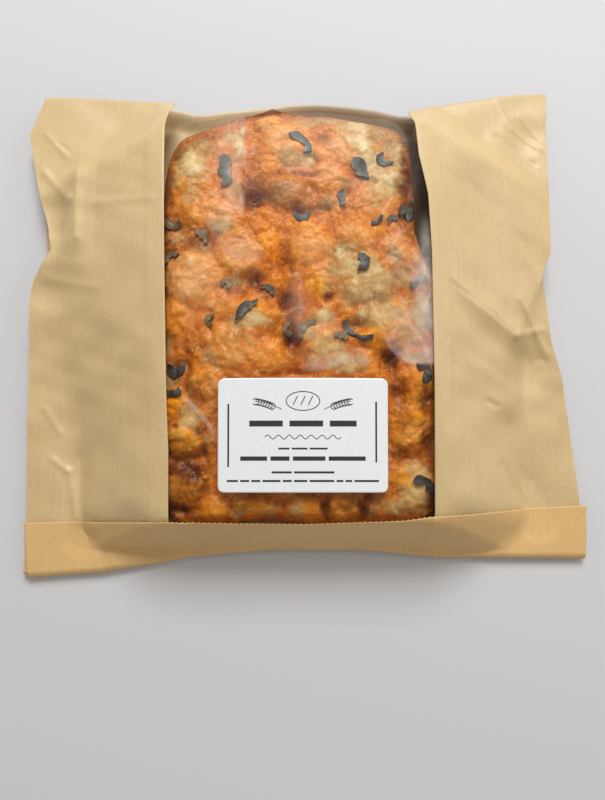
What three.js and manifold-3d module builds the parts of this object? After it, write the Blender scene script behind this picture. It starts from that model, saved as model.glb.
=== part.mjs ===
// A focaccia with cheese and jalapeno slices, shut in a kraft paper bag with a clear window.
// Lengths are in millimetres. The bag lies on its back: +Z is up through the window, +Y points
// to the bag's glued end and -Y to the mouth, which is folded over once.
import * as THREE from 'three';
import { mergeVertices } from 'three/addons/utils/BufferGeometryUtils.js';
import Module from 'manifold-3d';

const wasm = await Module();
wasm.setup();

// Sheets
const PAPER = 0.5;
const FILM = 0.3;
const LABEL = 0.3;
const GAP = 0.35;
const FOLD_HEIGHT = 1.0;
const TUBE_FROM_FOLD = 1.2;
const FLAP_LIFT = 1.65;
const BAG_STATIONS = 28;
const FILM_MARGIN = 6;
const FILM_SAG = 1.55;
const LABEL_SAG = 0.85;

// Loaf
const LOAF_TO_MOUTH = 104.5;
const LOAF_CENTRE_Y = 5.5;
const LOAF_HALF_WIDTH_LEFT = 67;
const LOAF_HALF_WIDTH_RIGHT = 69;
const LOAF_HALF_WIDTH_TOP_RIGHT = 58;
const LOAF_SQUARENESS_AT_MOUTH = 9;
const LOAF_SQUARENESS_AT_GLUED_END = 8;
const LOAF_WIDEST_AT = 19;
const LOAF_BASE_SHARE = 0.965;
const LOAF_SHOULDER = 0.9;
const LOAF_FLOOR = PAPER + GAP;
const LOAF_UNDER_DRAPE = 6.2;
const CRAG_HEIGHT = 0.8;

// Drape of the bag over the loaf
const CROWN = 38;
const CREST_Y = -31;
const LABEL_SLOPE = 0.115;
const BAG_HALF_WIDTH = 134;
const WINDOW_HALF_WIDTH = 61;
const GUSSET_DEPTH = 16;
const GUSSET_DEPTH_AT_ENDS = 3;

// Outlines seen from above, each a list of [position along one axis, value].
const frontLeft = [[-125, -132.6], [-96, -133], [-36, -134.5], [14, -134.2], [21.5, -132.3],
  [36, -123.8], [73, -134.1], [100, -140.6], [124, -133.2]];
const backLeft = [[-125, -132.6], [-96, -133], [-36, -134.5], [14, -134.2], [36, -131.5],
  [73, -134.1], [100, -140.6], [124, -133.2]];
const frontRight = [[-125, 137], [-90, 137.6], [-63, 135.4], [-30, 131.6], [-8, 126], [18, 119.6],
  [35, 126.3], [65, 128.2], [104, 129.4], [125, 131.1]];
const backRight = [[-125, 137], [-90, 137.6], [-63, 135.4], [-30, 131.6], [15, 128.2],
  [35, 126.3], [65, 128.2], [104, 129.4], [125, 131.1]];
const windowLeft = [[-120, -58], [-65, -58.2], [-11, -60.7], [27, -62.5], [92, -65.3], [118, -64.8]];
const windowRight = [[-120, 61.5], [-52, 61.7], [28, 62.5], [56, 62.2], [88, 60.6], [114, 57.8]];
const gluedEnd = [[-134, 122.2], [-100, 121.6], [-65, 118.6], [-54, 115.2], [-38, 117],
  [-21, 118.6], [-5, 120.7], [10, 121.2], [24, 120], [42, 117.8], [57, 114], [67, 115.8],
  [85, 119.3], [106.5, 123.2], [131, 124.4]];
const mouthFold = [[-131, -124.2], [-94, -121.6], [-67, -117], [-52, -114.2], [-14, -110.8],
  [32, -110.8], [64, -114.2], [139, -115.2]];
const flapEdge = [[-134, -98.6], [-58, -96.2], [2, -96.8], [47, -95.5], [62, -94], [141, -90]];

// Heights of the folded side edges along the bag, and of its two ends across it.
const edgeHeight = [[-125, 3.2], [-90, 3.4], [-60, 4.5], [-10, 8.5], [20, 13], [45, 14], [80, 11],
  [124, 9]];
const backEdgeHeight = [[-125, 0], [40, 0], [80, 1.5], [124, 4.4]];
const gluedEndHeight = [[-134, 4.4], [-66, 4], [-8, 5], [28, 5], [58, 4], [131, 4.4]];
const mouthLift = [[-131, 0], [-90, 0], [-40, 1.6], [-10, 2.6], [35, 2.4], [75, 0.6], [139, 0]];
const GLUED_END_LIFTS_OVER = 10;
const MOUTH_LIFTS_OVER = 12;
const MOUTH_STACK = 2.6;
const STRIP_OVER_BACK = 4.6;
const FILM_OVER_BACK = 2.3;

// The paper and film fall from the loaf's shoulder in straight facets, one per direction.
const facets = [
  { toward: 180, shoulder: 59.5, height: 35.2, fall: (y) => mix(0.62, 0.31, ease(-70, 35, y)) },
  { toward: 0, shoulder: 60.5, height: 35.2, fall: (y) => mix(0.6, 0.37, ease(-70, 35, y)) },
  { toward: 270, shoulder: 94, height: 32.2, fall: () => 1.7 },
  { toward: 90, shoulder: 110, height: 31.5, fall: () => 2.6 },
  { toward: 128, shoulder: 113, height: 31.5, fall: () => 0.9 },
  { toward: 52, shoulder: 111, height: 31.5, fall: () => 0.9 },
  { toward: 230, shoulder: 108, height: 31.5, fall: () => 0.72 },
  { toward: 310, shoulder: 109, height: 31.5, fall: () => 0.74 },
];
const FACET_ROUNDING = 3.5;
const LANDING_ROUNDING = 3;

// Creases are straight ridges, or valleys where the height is below zero. Dents are round.
const creases = [
  { from: [-110, 74], to: [-109, 40], height: 3.6, width: 11 },
  { from: [71, 12], to: [106, -9], height: 2.6, width: 11 },
  { from: [106, -9], to: [119, 18], height: 1.6, width: 10 },
  { from: [-108, -68], to: [-104, -104], height: -2.4, width: 13 },
  { from: [103, -52], to: [117, -98], height: -2.2, width: 12 },
  { from: [84, 66], to: [112, 40], height: -1.3, width: 12 },
];
const dents = [
  { at: [-124, 52], size: [13, 24], depth: 5 },
  { at: [-118, 16], size: [20, 15], depth: 2.6 },
  { at: [116, -22], size: [14, 20], depth: 2.6 },
  { at: [118, 100], size: [12, 14], depth: 1.8 },
];

// How far the loaf reaches from its centre to the glued end, at each share of its half width.
const loafToGluedEnd = [[-1, 93], [-0.78, 92.6], [-0.63, 95.6], [-0.47, 99.5], [-0.27, 104.2],
  [-0.19, 106.2], [0, 101], [0.18, 99], [0.54, 98], [0.72, 97], [1, 97]];

// Puffs that rose in the loaf: centre x, centre y, radius, height.
const puffs = [
  [-52, 68, 14, 2.6], [-34, 83, 8, 1.6], [-5, 86, 14, 2.6], [-14, 97, 8, 2.4], [28, 85, 17, 2.6],
  [16, 66, 10, 2], [-5, 59, 9, 2.4], [38, 54, 13, 2.2], [42, 67, 9, 2.2], [-49, 51, 12, 2],
  [-33, 46, 10, 2], [-50, 16, 16, 3.2], [-60, -2, 11, 1.8], [-29, 27, 13, 2], [6, 32, 12, 2.4],
  [29, 38, 12, 2.2], [30, 16, 14, 2.6], [10, 18, 9, 1.8], [41, -7, 15, 2.6], [-22, -4, 10, 2.2],
  [-31, -17, 13, 2.4], [12, -16, 13, 2.4], [-52, -60, 10, 2.4], [-55, -82, 11, 2.6],
  [52, -55, 11, 2.4], [53, -81, 13, 2.4], [-22, -90, 9, 2], [20, -90, 9, 2.6], [-20, -50, 14, 2.2],
  [10, -55, 14, 2.4], [-6, -73, 13, 2], [26, -70, 12, 2.2], [30, -42, 11, 2],
];
const PUFF_EDGE = 2.6;

// Finger dimples in the loaf: centre x, centre y, reach across and along, depth.
const dimples = [
  [-21, 55, 7, 5, 6], [-20, 14, 7, 5, 5], [-6, 4, 4, 5, 5.5], [14, 6, 4, 3, 3.5],
  [-3, -14, 4, 9, 4], [-8, 26, 4, 14, 3], [0, 48, 8, 4, 2.6], [43, -25, 5, 8, 4.5],
  [27, -8, 10, 4, 3], [-13, -12, 4, 5, 2.6], [52, 48, 5, 5, 3], [-41, 34, 4, 8, 1.8],
  [-56, 40, 6, 5, 2.2], [-58, -29, 5, 9, 2.4], [-52, -92, 8, 4, 3], [45, -38, 5, 6, 2.6],
  [47, -69, 7, 3, 2.4], [60, -64, 5, 9, 2.4], [-2, -30, 9, 3, 2],
];
const DIMPLE_SHARPNESS = 1.6;

// Jalapeno slices, each part of a ring: the x and y of its middle, the ring's radius, the width
// of the flesh, the way it bulges and its sweep, both in degrees.
const slices = [
  [-35.8, 70.2, 14, 6.2, 185, 62], [3.0, 85.5, 6.4, 4, 45, 125], [29.9, 71.5, 8, 6, 31, 72],
  [40.5, 74.4, 2.3, 4, 225, 240], [20.4, 55.3, 6, 3.4, 170, 85], [56.7, 14.2, 10, 4.2, 306, 52],
  [1.9, 45.1, 2.3, 4.4, 270, 220], [53, 50.6, 2.2, 4, 60, 280], [-32.7, 13.2, 1.6, 2.2, 60, 270],
  [-24.7, 0.9, 9, 4.2, 131, 84], [37.7, 43.2, 6, 2.4, 305, 62], [45.0, 45.6, 5, 2.6, 105, 62],
  [31.3, 22.8, 2.6, 4.4, 10, 210], [-42.0, -4.8, 1.8, 2.6, 170, 220],
  [-56.1, -29.1, 2.6, 4.2, 270, 230], [-57, -39.6, 4.2, 3.4, 280, 120],
  [-5.9, -9.9, 1.8, 2.8, 200, 230], [-13.8, 10.0, 8, 3, 55, 56], [2.4, -8.5, 6.6, 3.6, 138, 112],
  [19.7, -12.3, 6, 4, 70, 64], [26.4, -12.2, 13, 2.8, 236, 76], [60, -28.5, 3, 4.6, 20, 230],
  [58.4, -79, 4, 4.4, 60, 165], [-61, 42.6, 3.2, 3.2, 250, 170], [-61, 27.6, 3.4, 3.2, 120, 160],
  [-45.4, 36.7, 8, 3.4, 40, 58],
];
const SLICE_THICKNESS = 1.2;
const SLICE_CLEARANCE = 0.3;
const SLICE_STEPS = 8;

const rad = THREE.MathUtils.degToRad;
const clamp = THREE.MathUtils.clamp;
const mix = THREE.MathUtils.lerp;

// A smooth step from 0 to 1 as v goes from one value to another, either way round.
function ease(from, to, v) {
  const t = clamp((v - from) / (to - from), 0, 1);
  return t * t * (3 - 2 * t);
}

// The value at v of the straight segments through a list of [position, value].
function along(points, v) {
  let i = 0;
  while (i < points.length - 2 && v > points[i + 1][0]) i += 1;
  const [a, b] = [points[i], points[i + 1]];
  return mix(a[1], b[1], clamp((v - a[0]) / (b[0] - a[0]), 0, 1));
}

function softMin(a, b, rounding) {
  const h = clamp(0.5 + (0.5 * (b - a)) / rounding, 0, 1);
  return mix(b, a, h) - rounding * h * (1 - h);
}

function softMax(a, b, rounding) {
  return -softMin(-a, -b, rounding);
}

// The loaf's top envelope, where bag and film lie on it.
function crown(x, y) {
  const side = 3 * (x / 60) ** 2;
  const toMouth = LABEL_SLOPE * Math.max(0, CREST_Y - y);
  const toGluedEnd = 6 * (Math.max(0, y - 15) / 85) ** 2;
  return CROWN - side - toMouth - toGluedEnd;
}

function creaseHeight(x, y, { from, to, height, width }) {
  const [dx, dy] = [to[0] - from[0], to[1] - from[1]];
  const share = clamp(((x - from[0]) * dx + (y - from[1]) * dy) / (dx * dx + dy * dy), 0, 1);
  const away = Math.hypot(x - from[0] - share * dx, y - from[1] - share * dy);
  return height * Math.max(0, 1 - away / width) ** 1.5;
}

function dentDepth(x, y, { at, size, depth }) {
  const r = Math.hypot((x - at[0]) / size[0], (y - at[1]) / size[1]);
  return depth * Math.max(0, 1 - r * r) ** 2;
}

// Height of the middle of the front sheet, paper or film, over the point (x, y).
function drape(x, y) {
  let z = crown(x, y);
  for (const { toward, shoulder, height, fall } of facets) {
    const d = x * Math.cos(rad(toward)) + y * Math.sin(rad(toward));
    z = softMin(z, height - fall(y) * (d - shoulder), FACET_ROUNDING);
  }
  const middle = ease(75, 45, Math.abs(x));
  const atGluedEnd = along(gluedEndHeight, x) + mix(STRIP_OVER_BACK, FILM_OVER_BACK, middle);
  const atMouth = along(mouthLift, x) + MOUTH_STACK;
  const sides = along(edgeHeight, y);
  const ends = y > 0 ? atGluedEnd : atMouth;
  const rest = mix(sides, ends, middle);
  z = softMax(z, rest, LANDING_ROUNDING);
  const onMargin = ease(70, 84, Math.abs(x));
  for (const crease of creases) z += creaseHeight(x, y, crease) * onMargin;
  for (const dent of dents) z -= dentDepth(x, y, dent);
  return Math.max(z, along(mouthLift, x) + MOUTH_STACK);
}

function drapeNormal(x, y) {
  const h = 0.5;
  const nx = (drape(x - h, y) - drape(x + h, y)) / (2 * h);
  const ny = (drape(x, y - h) - drape(x, y + h)) / (2 * h);
  return new THREE.Vector3(nx, ny, 1).normalize();
}

// A point a given distance above the middle of the front sheet, square to it.
function overDrape(x, y, distance) {
  return drapeNormal(x, y).multiplyScalar(distance).add(new THREE.Vector3(x, y, drape(x, y)));
}

// Height of the middle of the back panel.
function back(x, y) {
  const toMouth = y - along(mouthFold, x);
  const toGluedEnd = along(gluedEnd, x) - y;
  const lift = along(mouthLift, x) * ease(MOUTH_LIFTS_OVER, 0, toMouth);
  const rise = along(gluedEndHeight, x) * ease(GLUED_END_LIFTS_OVER, 0, toGluedEnd);
  return PAPER / 2 + lift + rise;
}

// A closed solid from positions and triangles, with its faces turned outwards.
function closedGeometry(positions, triangles) {
  let volume = 0;
  for (const [a, b, c] of triangles) {
    const cross = new THREE.Vector3().crossVectors(positions[b], positions[c]);
    volume += positions[a].dot(cross);
  }
  const index = triangles.flatMap(([a, b, c]) => (volume < 0 ? [a, c, b] : [a, b, c]));
  const geometry = new THREE.BufferGeometry();
  geometry.setAttribute('position', new THREE.Float32BufferAttribute(
    positions.flatMap((p) => p.toArray()), 3));
  geometry.setIndex(index);
  geometry.computeVertexNormals();
  return geometry;
}

// Triangles of a quad mesh over rows by columns of points, starting at the point numbered first.
function gridTriangles(rows, columns, first) {
  const triangles = [];
  for (let j = 0; j < rows - 1; j += 1) {
    for (let i = 0; i < columns - 1; i += 1) {
      const a = first + j * columns + i;
      triangles.push([a, a + 1, a + columns + 1], [a, a + columns + 1, a + columns]);
    }
  }
  return triangles;
}

// The numbers of the points round the rim of rows by columns of points, in order.
function rimOf(rows, columns) {
  const rim = [];
  for (let i = 0; i < columns - 1; i += 1) rim.push(i);
  for (let j = 0; j < rows - 1; j += 1) rim.push(j * columns + columns - 1);
  for (let i = columns - 1; i > 0; i -= 1) rim.push((rows - 1) * columns + i);
  for (let j = rows - 1; j > 0; j -= 1) rim.push(j * columns);
  return rim;
}

// A sheet of even thickness about a grid of points that lie along its middle.
function sheet(grid, thickness) {
  const [rows, columns] = [grid.length, grid[0].length];
  const middle = grid.flat();
  const normals = middle.map(() => new THREE.Vector3());
  for (const corners of gridTriangles(rows, columns, 0)) {
    const [a, b, c] = corners.map((k) => middle[k]);
    const normal = new THREE.Vector3().subVectors(b, a).cross(new THREE.Vector3().subVectors(c, a));
    for (const k of corners) normals[k].add(normal);
  }
  const offset = (k, side) => middle[k].clone().addScaledVector(
    normals[k].clone().normalize(), (side * thickness) / 2);
  const upper = middle.map((_, k) => offset(k, 1));
  const lower = middle.map((_, k) => offset(k, -1));
  const count = middle.length;
  const triangles = gridTriangles(rows, columns, 0);
  for (const [a, b, c] of gridTriangles(rows, columns, count)) triangles.push([a, c, b]);
  const rim = rimOf(rows, columns);
  rim.forEach((a, k) => {
    const b = rim[(k + 1) % rim.length];
    triangles.push([a, a + count, b + count], [a, b + count, b]);
  });
  return closedGeometry([...upper, ...lower], triangles);
}

function steps(count) {
  return Array.from({ length: count + 1 }, (_, k) => k / count);
}

function toManifold(geometry) {
  const merged = geometry.clone();
  merged.deleteAttribute('normal');
  const clean = mergeVertices(merged, 1e-4);
  return new wasm.Manifold(new wasm.Mesh({
    numProp: 3,
    vertProperties: Float32Array.from(clean.attributes.position.array),
    triVerts: Uint32Array.from(clean.index.array),
  }));
}

function toGeometry(solid) {
  const mesh = solid.getMesh();
  const geometry = new THREE.BufferGeometry();
  geometry.setAttribute('position', new THREE.BufferAttribute(mesh.vertProperties, 3));
  geometry.setIndex(new THREE.BufferAttribute(mesh.triVerts, 1));
  geometry.computeVertexNormals();
  return geometry;
}

// The y at x of one station along the bag, 0 at the mouth's fold to 1 at the glued end.
function alongBag(x, station) {
  return mix(along(mouthFold, x) + TUBE_FROM_FOLD, along(gluedEnd, x), station);
}

// One side of the bag at one station along it: the strip beside the window, the folded front
// edge, the gusset tucked in between, and the folded back edge.
function sideSection(station, windowEdge, frontEdge, backEdge, sign) {
  const windowX = along(windowEdge, alongBag(sign * WINDOW_HALF_WIDTH, station));
  const nearEdge = alongBag(sign * BAG_HALF_WIDTH, station);
  const frontX = along(frontEdge, nearEdge);
  const backX = along(backEdge, nearEdge);
  const points = [];
  for (const s of steps(7)) {
    const x = mix(windowX, frontX, s);
    const onStrip = alongBag(x, station);
    points.push(new THREE.Vector3(x, onStrip, drape(x, onStrip)));
  }
  const y = alongBag(frontX, station);
  const frontZ = drape(frontX, y);
  const backZ = PAPER / 2 + Math.max(along(backEdgeHeight, y), back(backX, y) - PAPER / 2);
  const depth = mix(GUSSET_DEPTH_AT_ENDS, GUSSET_DEPTH, Math.sin(Math.PI * station) ** 0.7);
  const creaseX = frontX - sign * depth;
  const creaseZ = (frontZ + backZ) / 2;
  points.push(new THREE.Vector3(frontX, y, frontZ - FOLD_HEIGHT));
  points.push(new THREE.Vector3(creaseX, y, Math.max(creaseZ + 0.3, backZ + 1.5)));
  points.push(new THREE.Vector3(creaseX, y, Math.max(creaseZ - 0.4, backZ + 0.8)));
  points.push(new THREE.Vector3(backX, y, backZ + FOLD_HEIGHT));
  points.push(new THREE.Vector3(backX, y, backZ));
  return points;
}

// The bag without its flap: one sheet that runs round from one window edge to the other.
function bagTube() {
  const grid = steps(BAG_STATIONS).map((station) => {
    const left = sideSection(station, windowLeft, frontLeft, backLeft, -1);
    const right = sideSection(station, windowRight, frontRight, backRight, 1);
    const [from, to] = [left.at(-1), right.at(-1)];
    const panel = steps(7).slice(1, -1).map((s) => {
      const x = mix(from.x, to.x, s);
      const y = alongBag(x, station);
      const nearEdge = ease(0.75, 1, Math.abs(2 * s - 1));
      const edgeZ = s < 0.5 ? from.z : to.z;
      return new THREE.Vector3(x, y, Math.max(back(x, y), mix(PAPER / 2, edgeZ, nearEdge)));
    });
    return [...left, ...panel, ...right.reverse()];
  });
  return sheet(grid, PAPER);
}

// The pressed stack of paper layers along the mouth's fold.
function mouthStack() {
  const [front, rear, low, high] = [-0.2, 3, 0.17, MOUTH_STACK + 0.06];
  const rings = steps(24).map((s) => {
    const x = mix(-128.3, 134.9, s);
    const [y, z] = [along(mouthFold, x), along(mouthLift, x)];
    return [[front, low], [rear, low], [rear, high], [front, high]].map(
      ([dy, dz]) => new THREE.Vector3(x, y + dy, z + dz));
  });
  const triangles = [];
  rings.slice(1).forEach((_, j) => {
    for (let i = 0; i < 4; i += 1) {
      const [a, b] = [j * 4 + i, j * 4 + ((i + 1) % 4)];
      triangles.push([a, b, b + 4], [a, b + 4, a + 4]);
    }
  });
  const last = (rings.length - 1) * 4;
  triangles.push([0, 2, 1], [0, 3, 2], [last, last + 1, last + 2], [last, last + 2, last + 3]);
  return closedGeometry(rings.flat(), triangles);
}

// The flap: it comes out of the stack, turns up round it and lies on the front of the bag.
function flap() {
  const grid = steps(26).map((s) => {
    const foldX = mix(-130.2, 138.9, s);
    const edgeX = mix(-133.4, 140.4, s);
    const foldY = along(mouthFold, foldX);
    const z = along(mouthLift, foldX);
    const column = [
      new THREE.Vector3(foldX, foldY + 1.4, z + 1.2),
      new THREE.Vector3(foldX, foldY - 0.6, z + 1.2),
      new THREE.Vector3(foldX, foldY - 0.4, z + MOUTH_STACK + FLAP_LIFT - 0.6),
    ];
    for (const t of steps(5)) {
      const x = mix(foldX, edgeX, t);
      const y = mix(foldY + 0.9, along(flapEdge, edgeX), t);
      column.push(overDrape(x, y, FLAP_LIFT));
    }
    return column;
  });
  return sheet(grid, PAPER);
}

// The bag in one piece, without the loose scraps that joining thin sheets leaves.
function paperBag() {
  const solid = toManifold(bagTube()).add(toManifold(mouthStack())).add(toManifold(flap()));
  const bodies = solid.decompose().sort((a, b) => b.volume() - a.volume());
  return toGeometry(bodies[0]);
}

// The clear film: glued inside the paper on both sides of the window, over the loaf's ends.
function windowFilm() {
  const grid = steps(BAG_STATIONS).slice(1).map((t) => {
    const left = along(windowLeft, alongBag(-WINDOW_HALF_WIDTH, t));
    const right = along(windowRight, alongBag(WINDOW_HALF_WIDTH, t));
    const across = steps(8).map((s) => mix(left, right, s));
    const columns = [left - FILM_MARGIN, ...across, right + FILM_MARGIN];
    return columns.map((x) => overDrape(x, alongBag(x, t), -FILM_SAG));
  });
  return sheet(grid, FILM);
}

// The label: a paper rectangle with rounded corners, stuck on the film.
const LABEL_WIDTH = 76.2;
const LABEL_LENGTH = 50.8;
const LABEL_CENTRE = [2.3, -58.6];
const LABEL_CORNER = 3;

function label() {
  const cutCorner = (u, v) => {
    const [x, y] = [(u * LABEL_WIDTH) / 2, (v * LABEL_LENGTH) / 2];
    const [cx, cy] = [LABEL_WIDTH / 2 - LABEL_CORNER, LABEL_LENGTH / 2 - LABEL_CORNER];
    const over = new THREE.Vector2(Math.max(0, Math.abs(x) - cx), Math.max(0, Math.abs(y) - cy));
    if (over.length() > LABEL_CORNER) over.setLength(LABEL_CORNER);
    return [Math.sign(x) * (Math.min(Math.abs(x), cx) + over.x),
      Math.sign(y) * (Math.min(Math.abs(y), cy) + over.y)];
  };
  const lines = (half) => [-1, -1 + 1 / half, -1 + 3 / half, -0.5, 0, 0.5, 1 - 3 / half,
    1 - 1 / half, 1];
  const grid = lines(LABEL_LENGTH / 2).map((v) => lines(LABEL_WIDTH / 2).map((u) => {
    const [x, y] = cutCorner(u, v);
    return overDrape(LABEL_CENTRE[0] + x, LABEL_CENTRE[1] + y, -LABEL_SAG);
  }));
  return sheet(grid, LABEL);
}

// Roughness of the crust: a few waves of unlike length and direction, from 0 to 1.
function crags(x, y) {
  const a = Math.sin(0.31 * x + 1.3) * Math.cos(0.27 * y + 0.4);
  const b = Math.sin(0.52 * x - 0.41 * y + 2.1);
  const c = Math.sin(0.23 * x + 0.67 * y);
  return clamp(0.5 + 0.22 * a + 0.17 * b + 0.13 * c, 0, 1);
}

// The loaf's half width on one side at a distance along it.
function loafHalfWidth(side, y) {
  if (side < 0) return LOAF_HALF_WIDTH_LEFT;
  return mix(LOAF_HALF_WIDTH_RIGHT, LOAF_HALF_WIDTH_TOP_RIGHT, ease(5, 45, y));
}

// The outline isn't a clean curve: the dough rose in lobes against the pan.
function lobes(u, v) {
  const turn = Math.atan2(v, u);
  return 0.99 + 0.008 * Math.sin(5 * turn + 0.7) + 0.007 * Math.sin(9 * turn + 2);
}

// The point at u and v, each -1 to 1, of the loaf's plan, shrunk to a share of its outline.
function onLoafPlan(u, v, share) {
  const n = mix(LOAF_SQUARENESS_AT_MOUTH, LOAF_SQUARENESS_AT_GLUED_END, ease(-0.3, 0.3, v));
  const reach = Math.max(Math.abs(u), Math.abs(v));
  const norm = (Math.abs(u) ** n + Math.abs(v) ** n) ** (1 / n) || 1;
  const k = (reach * share * lobes(u, v)) / norm;
  const length = mix(LOAF_TO_MOUTH, along(loafToGluedEnd, u), ease(-0.2, 0.4, v));
  const y = v * k * length + LOAF_CENTRE_Y;
  return [u * k * loafHalfWidth(u, y), y];
}

// Height of the crust over (x, y), at a reach of 0 in the middle of the loaf to 1 at its outline.
function loafTop(x, y, reach) {
  let z = Math.min(crown(x, y), drape(x, y)) - LOAF_UNDER_DRAPE - CRAG_HEIGHT * crags(x, y);
  z += Math.max(0, ...puffs.map(([cx, cy, radius, rise]) => (
    rise * (1 - (Math.hypot(x - cx, y - cy) / radius) ** PUFF_EDGE))));
  for (const [cx, cy, reachX, reachY, depth] of dimples) {
    const r = Math.hypot((x - cx) / reachX, (y - cy) / reachY);
    z -= depth * Math.exp(-DIMPLE_SHARPNESS * r * r);
  }
  const over = clamp((reach - LOAF_SHOULDER) / (1 - LOAF_SHOULDER), 0, 1);
  return LOAF_WIDEST_AT + (z - LOAF_WIDEST_AT) * Math.sqrt(1 - 0.98 * over ** 2);
}

function focaccia() {
  const [across, lengthways] = [28, 40];
  const denser = (s) => Math.sign(s) * Math.abs(s) ** 0.88;
  const grid = steps(lengthways).flatMap((t) => steps(across).map((s) => [
    denser(2 * s - 1), denser(2 * t - 1)]));
  const positions = grid.map(([u, v]) => {
    const [x, y] = onLoafPlan(u, v, 1);
    return new THREE.Vector3(x, y, loafTop(x, y, Math.max(Math.abs(u), Math.abs(v))));
  });
  const triangles = gridTriangles(lengthways + 1, across + 1, 0);
  let ring = rimOf(lengthways + 1, across + 1);
  const rim = ring.map((k) => grid[k]);
  const sides = [[1, 14], [0.99, 6], [LOAF_BASE_SHARE, LOAF_FLOOR + 0.9],
    [LOAF_BASE_SHARE - 0.02, LOAF_FLOOR]];
  for (const [share, z] of sides) {
    const next = rim.map(([u, v]) => positions.push(
      new THREE.Vector3(...onLoafPlan(u, v, share), z)) - 1);
    ring.forEach((a, k) => {
      const m = (k + 1) % ring.length;
      triangles.push([a, next[k], next[m]], [a, next[m], ring[m]]);
    });
    ring = next;
  }
  const centre = positions.push(new THREE.Vector3(0, LOAF_CENTRE_Y, LOAF_FLOOR)) - 1;
  ring.forEach((a, k) => triangles.push([a, centre, ring[(k + 1) % ring.length]]));
  return closedGeometry(positions, triangles);
}

// One slice: a bent strip of flesh that lies on the crust, a little clear of it.
function jalapeno(loaf, [x, y, radius, width, facing, sweep]) {
  const down = new THREE.Vector3(0, 0, -1);
  const crustUnder = (px, py) => {
    const ray = new THREE.Raycaster(new THREE.Vector3(px, py, 100), down);
    const hit = ray.intersectObject(loaf)[0];
    return hit ? hit.point.z : 0;
  };
  const [cx, cy] = [x - radius * Math.cos(rad(facing)), y - radius * Math.sin(rad(facing))];
  const rings = steps(SLICE_STEPS).map((s) => {
    const angle = rad(facing + sweep * (s - 0.5));
    const taper = 0.65 + 0.35 * Math.sin(Math.PI * clamp(s, 0.12, 0.88));
    const place = (r) => [cx + r * Math.cos(angle), cy + r * Math.sin(angle)];
    const [inner, outer] = [radius - (width * taper) / 2, radius + (width * taper) / 2];
    const under = [inner, radius, outer].map((r) => crustUnder(...place(r)));
    const z = Math.max(...under) + GAP + SLICE_CLEARANCE;
    const corner = (r, dz) => new THREE.Vector3(...place(r), z + dz);
    return [corner(inner, 0), corner(outer, 0), corner(outer - 0.2, SLICE_THICKNESS),
      corner(inner + 0.2, SLICE_THICKNESS)];
  });
  const triangles = [];
  for (let j = 0; j < SLICE_STEPS; j += 1) {
    for (let i = 0; i < 4; i += 1) {
      const [a, b] = [j * 4 + i, j * 4 + ((i + 1) % 4)];
      triangles.push([a, b, b + 4], [a, b + 4, a + 4]);
    }
  }
  const last = SLICE_STEPS * 4;
  triangles.push([0, 2, 1], [0, 3, 2], [last, last + 1, last + 2], [last, last + 2, last + 3]);
  return closedGeometry(rings.flat(), triangles);
}

const materials = {
  kraft: new THREE.MeshStandardMaterial({ color: 0xd8bf90, roughness: 0.7, metalness: 0 }),
  film: new THREE.MeshStandardMaterial({ color: 0xf2f4f6, roughness: 0.08, metalness: 0,
    transparent: true, opacity: 0.25 }),
  label: new THREE.MeshStandardMaterial({ color: 0xf1f2f3, roughness: 0.45, metalness: 0 }),
  crust: new THREE.MeshStandardMaterial({ color: 0xd18a3a, roughness: 0.55, metalness: 0 }),
  jalapeno: new THREE.MeshStandardMaterial({ color: 0x3c4430, roughness: 0.5, metalness: 0 }),
};

const pack = new THREE.Group();

function addMesh(name, geometry, material) {
  const mesh = new THREE.Mesh(geometry, material);
  mesh.name = name;
  pack.add(mesh);
  return mesh;
}

addMesh('paper_bag', paperBag(), materials.kraft);
addMesh('window_film', windowFilm(), materials.film);
addMesh('label', label(), materials.label);
const loaf = addMesh('focaccia', focaccia(), materials.crust);
slices.forEach((slice, k) => {
  const name = `jalapeno_${String(k + 1).padStart(2, '0')}`;
  addMesh(name, jalapeno(loaf, slice), materials.jalapeno);
});

// The origin is on the surface that the pack lies on, under the middle of its outline.
const extent = new THREE.Box3().setFromObject(pack);
const middle = extent.getCenter(new THREE.Vector3());
pack.position.set(-middle.x, -middle.y, -extent.min.z);

export default pack;
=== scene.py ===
from math import atan2, cos, pi, radians, sin

import bmesh
import bpy
import numpy as np
from mathutils import Matrix, Vector, noise


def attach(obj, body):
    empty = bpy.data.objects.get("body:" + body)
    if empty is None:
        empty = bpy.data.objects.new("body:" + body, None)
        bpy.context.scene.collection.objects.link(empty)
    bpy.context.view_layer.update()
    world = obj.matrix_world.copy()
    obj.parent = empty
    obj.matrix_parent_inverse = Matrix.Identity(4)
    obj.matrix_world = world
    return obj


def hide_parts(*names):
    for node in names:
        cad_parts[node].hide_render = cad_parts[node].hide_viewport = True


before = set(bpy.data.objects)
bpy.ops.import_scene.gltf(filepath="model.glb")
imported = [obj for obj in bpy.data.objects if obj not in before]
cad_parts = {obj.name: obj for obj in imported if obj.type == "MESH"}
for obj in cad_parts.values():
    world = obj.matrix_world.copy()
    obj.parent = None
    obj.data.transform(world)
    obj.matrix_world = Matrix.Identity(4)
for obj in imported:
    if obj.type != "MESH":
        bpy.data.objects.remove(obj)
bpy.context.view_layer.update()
scene = bpy.context.scene

# Camera. A phone held flat over the pack, tipped 8 degrees, with a wide lens whose view is
# 605 by 800 pixels and 601 pixels deep.
PICTURE_HEIGHT = 800
LENS_PIXELS = 601
SENSOR = 36
camera = bpy.data.objects.new("camera", bpy.data.cameras.new("camera"))
scene.collection.objects.link(camera)
camera.location = (0.0019, -0.0803, 0.302)
camera.rotation_euler = (radians(8), 0, 0)
camera.data.sensor_width = SENSOR
camera.data.lens = SENSOR * LENS_PIXELS / PICTURE_HEIGHT
scene.camera = camera

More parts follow.
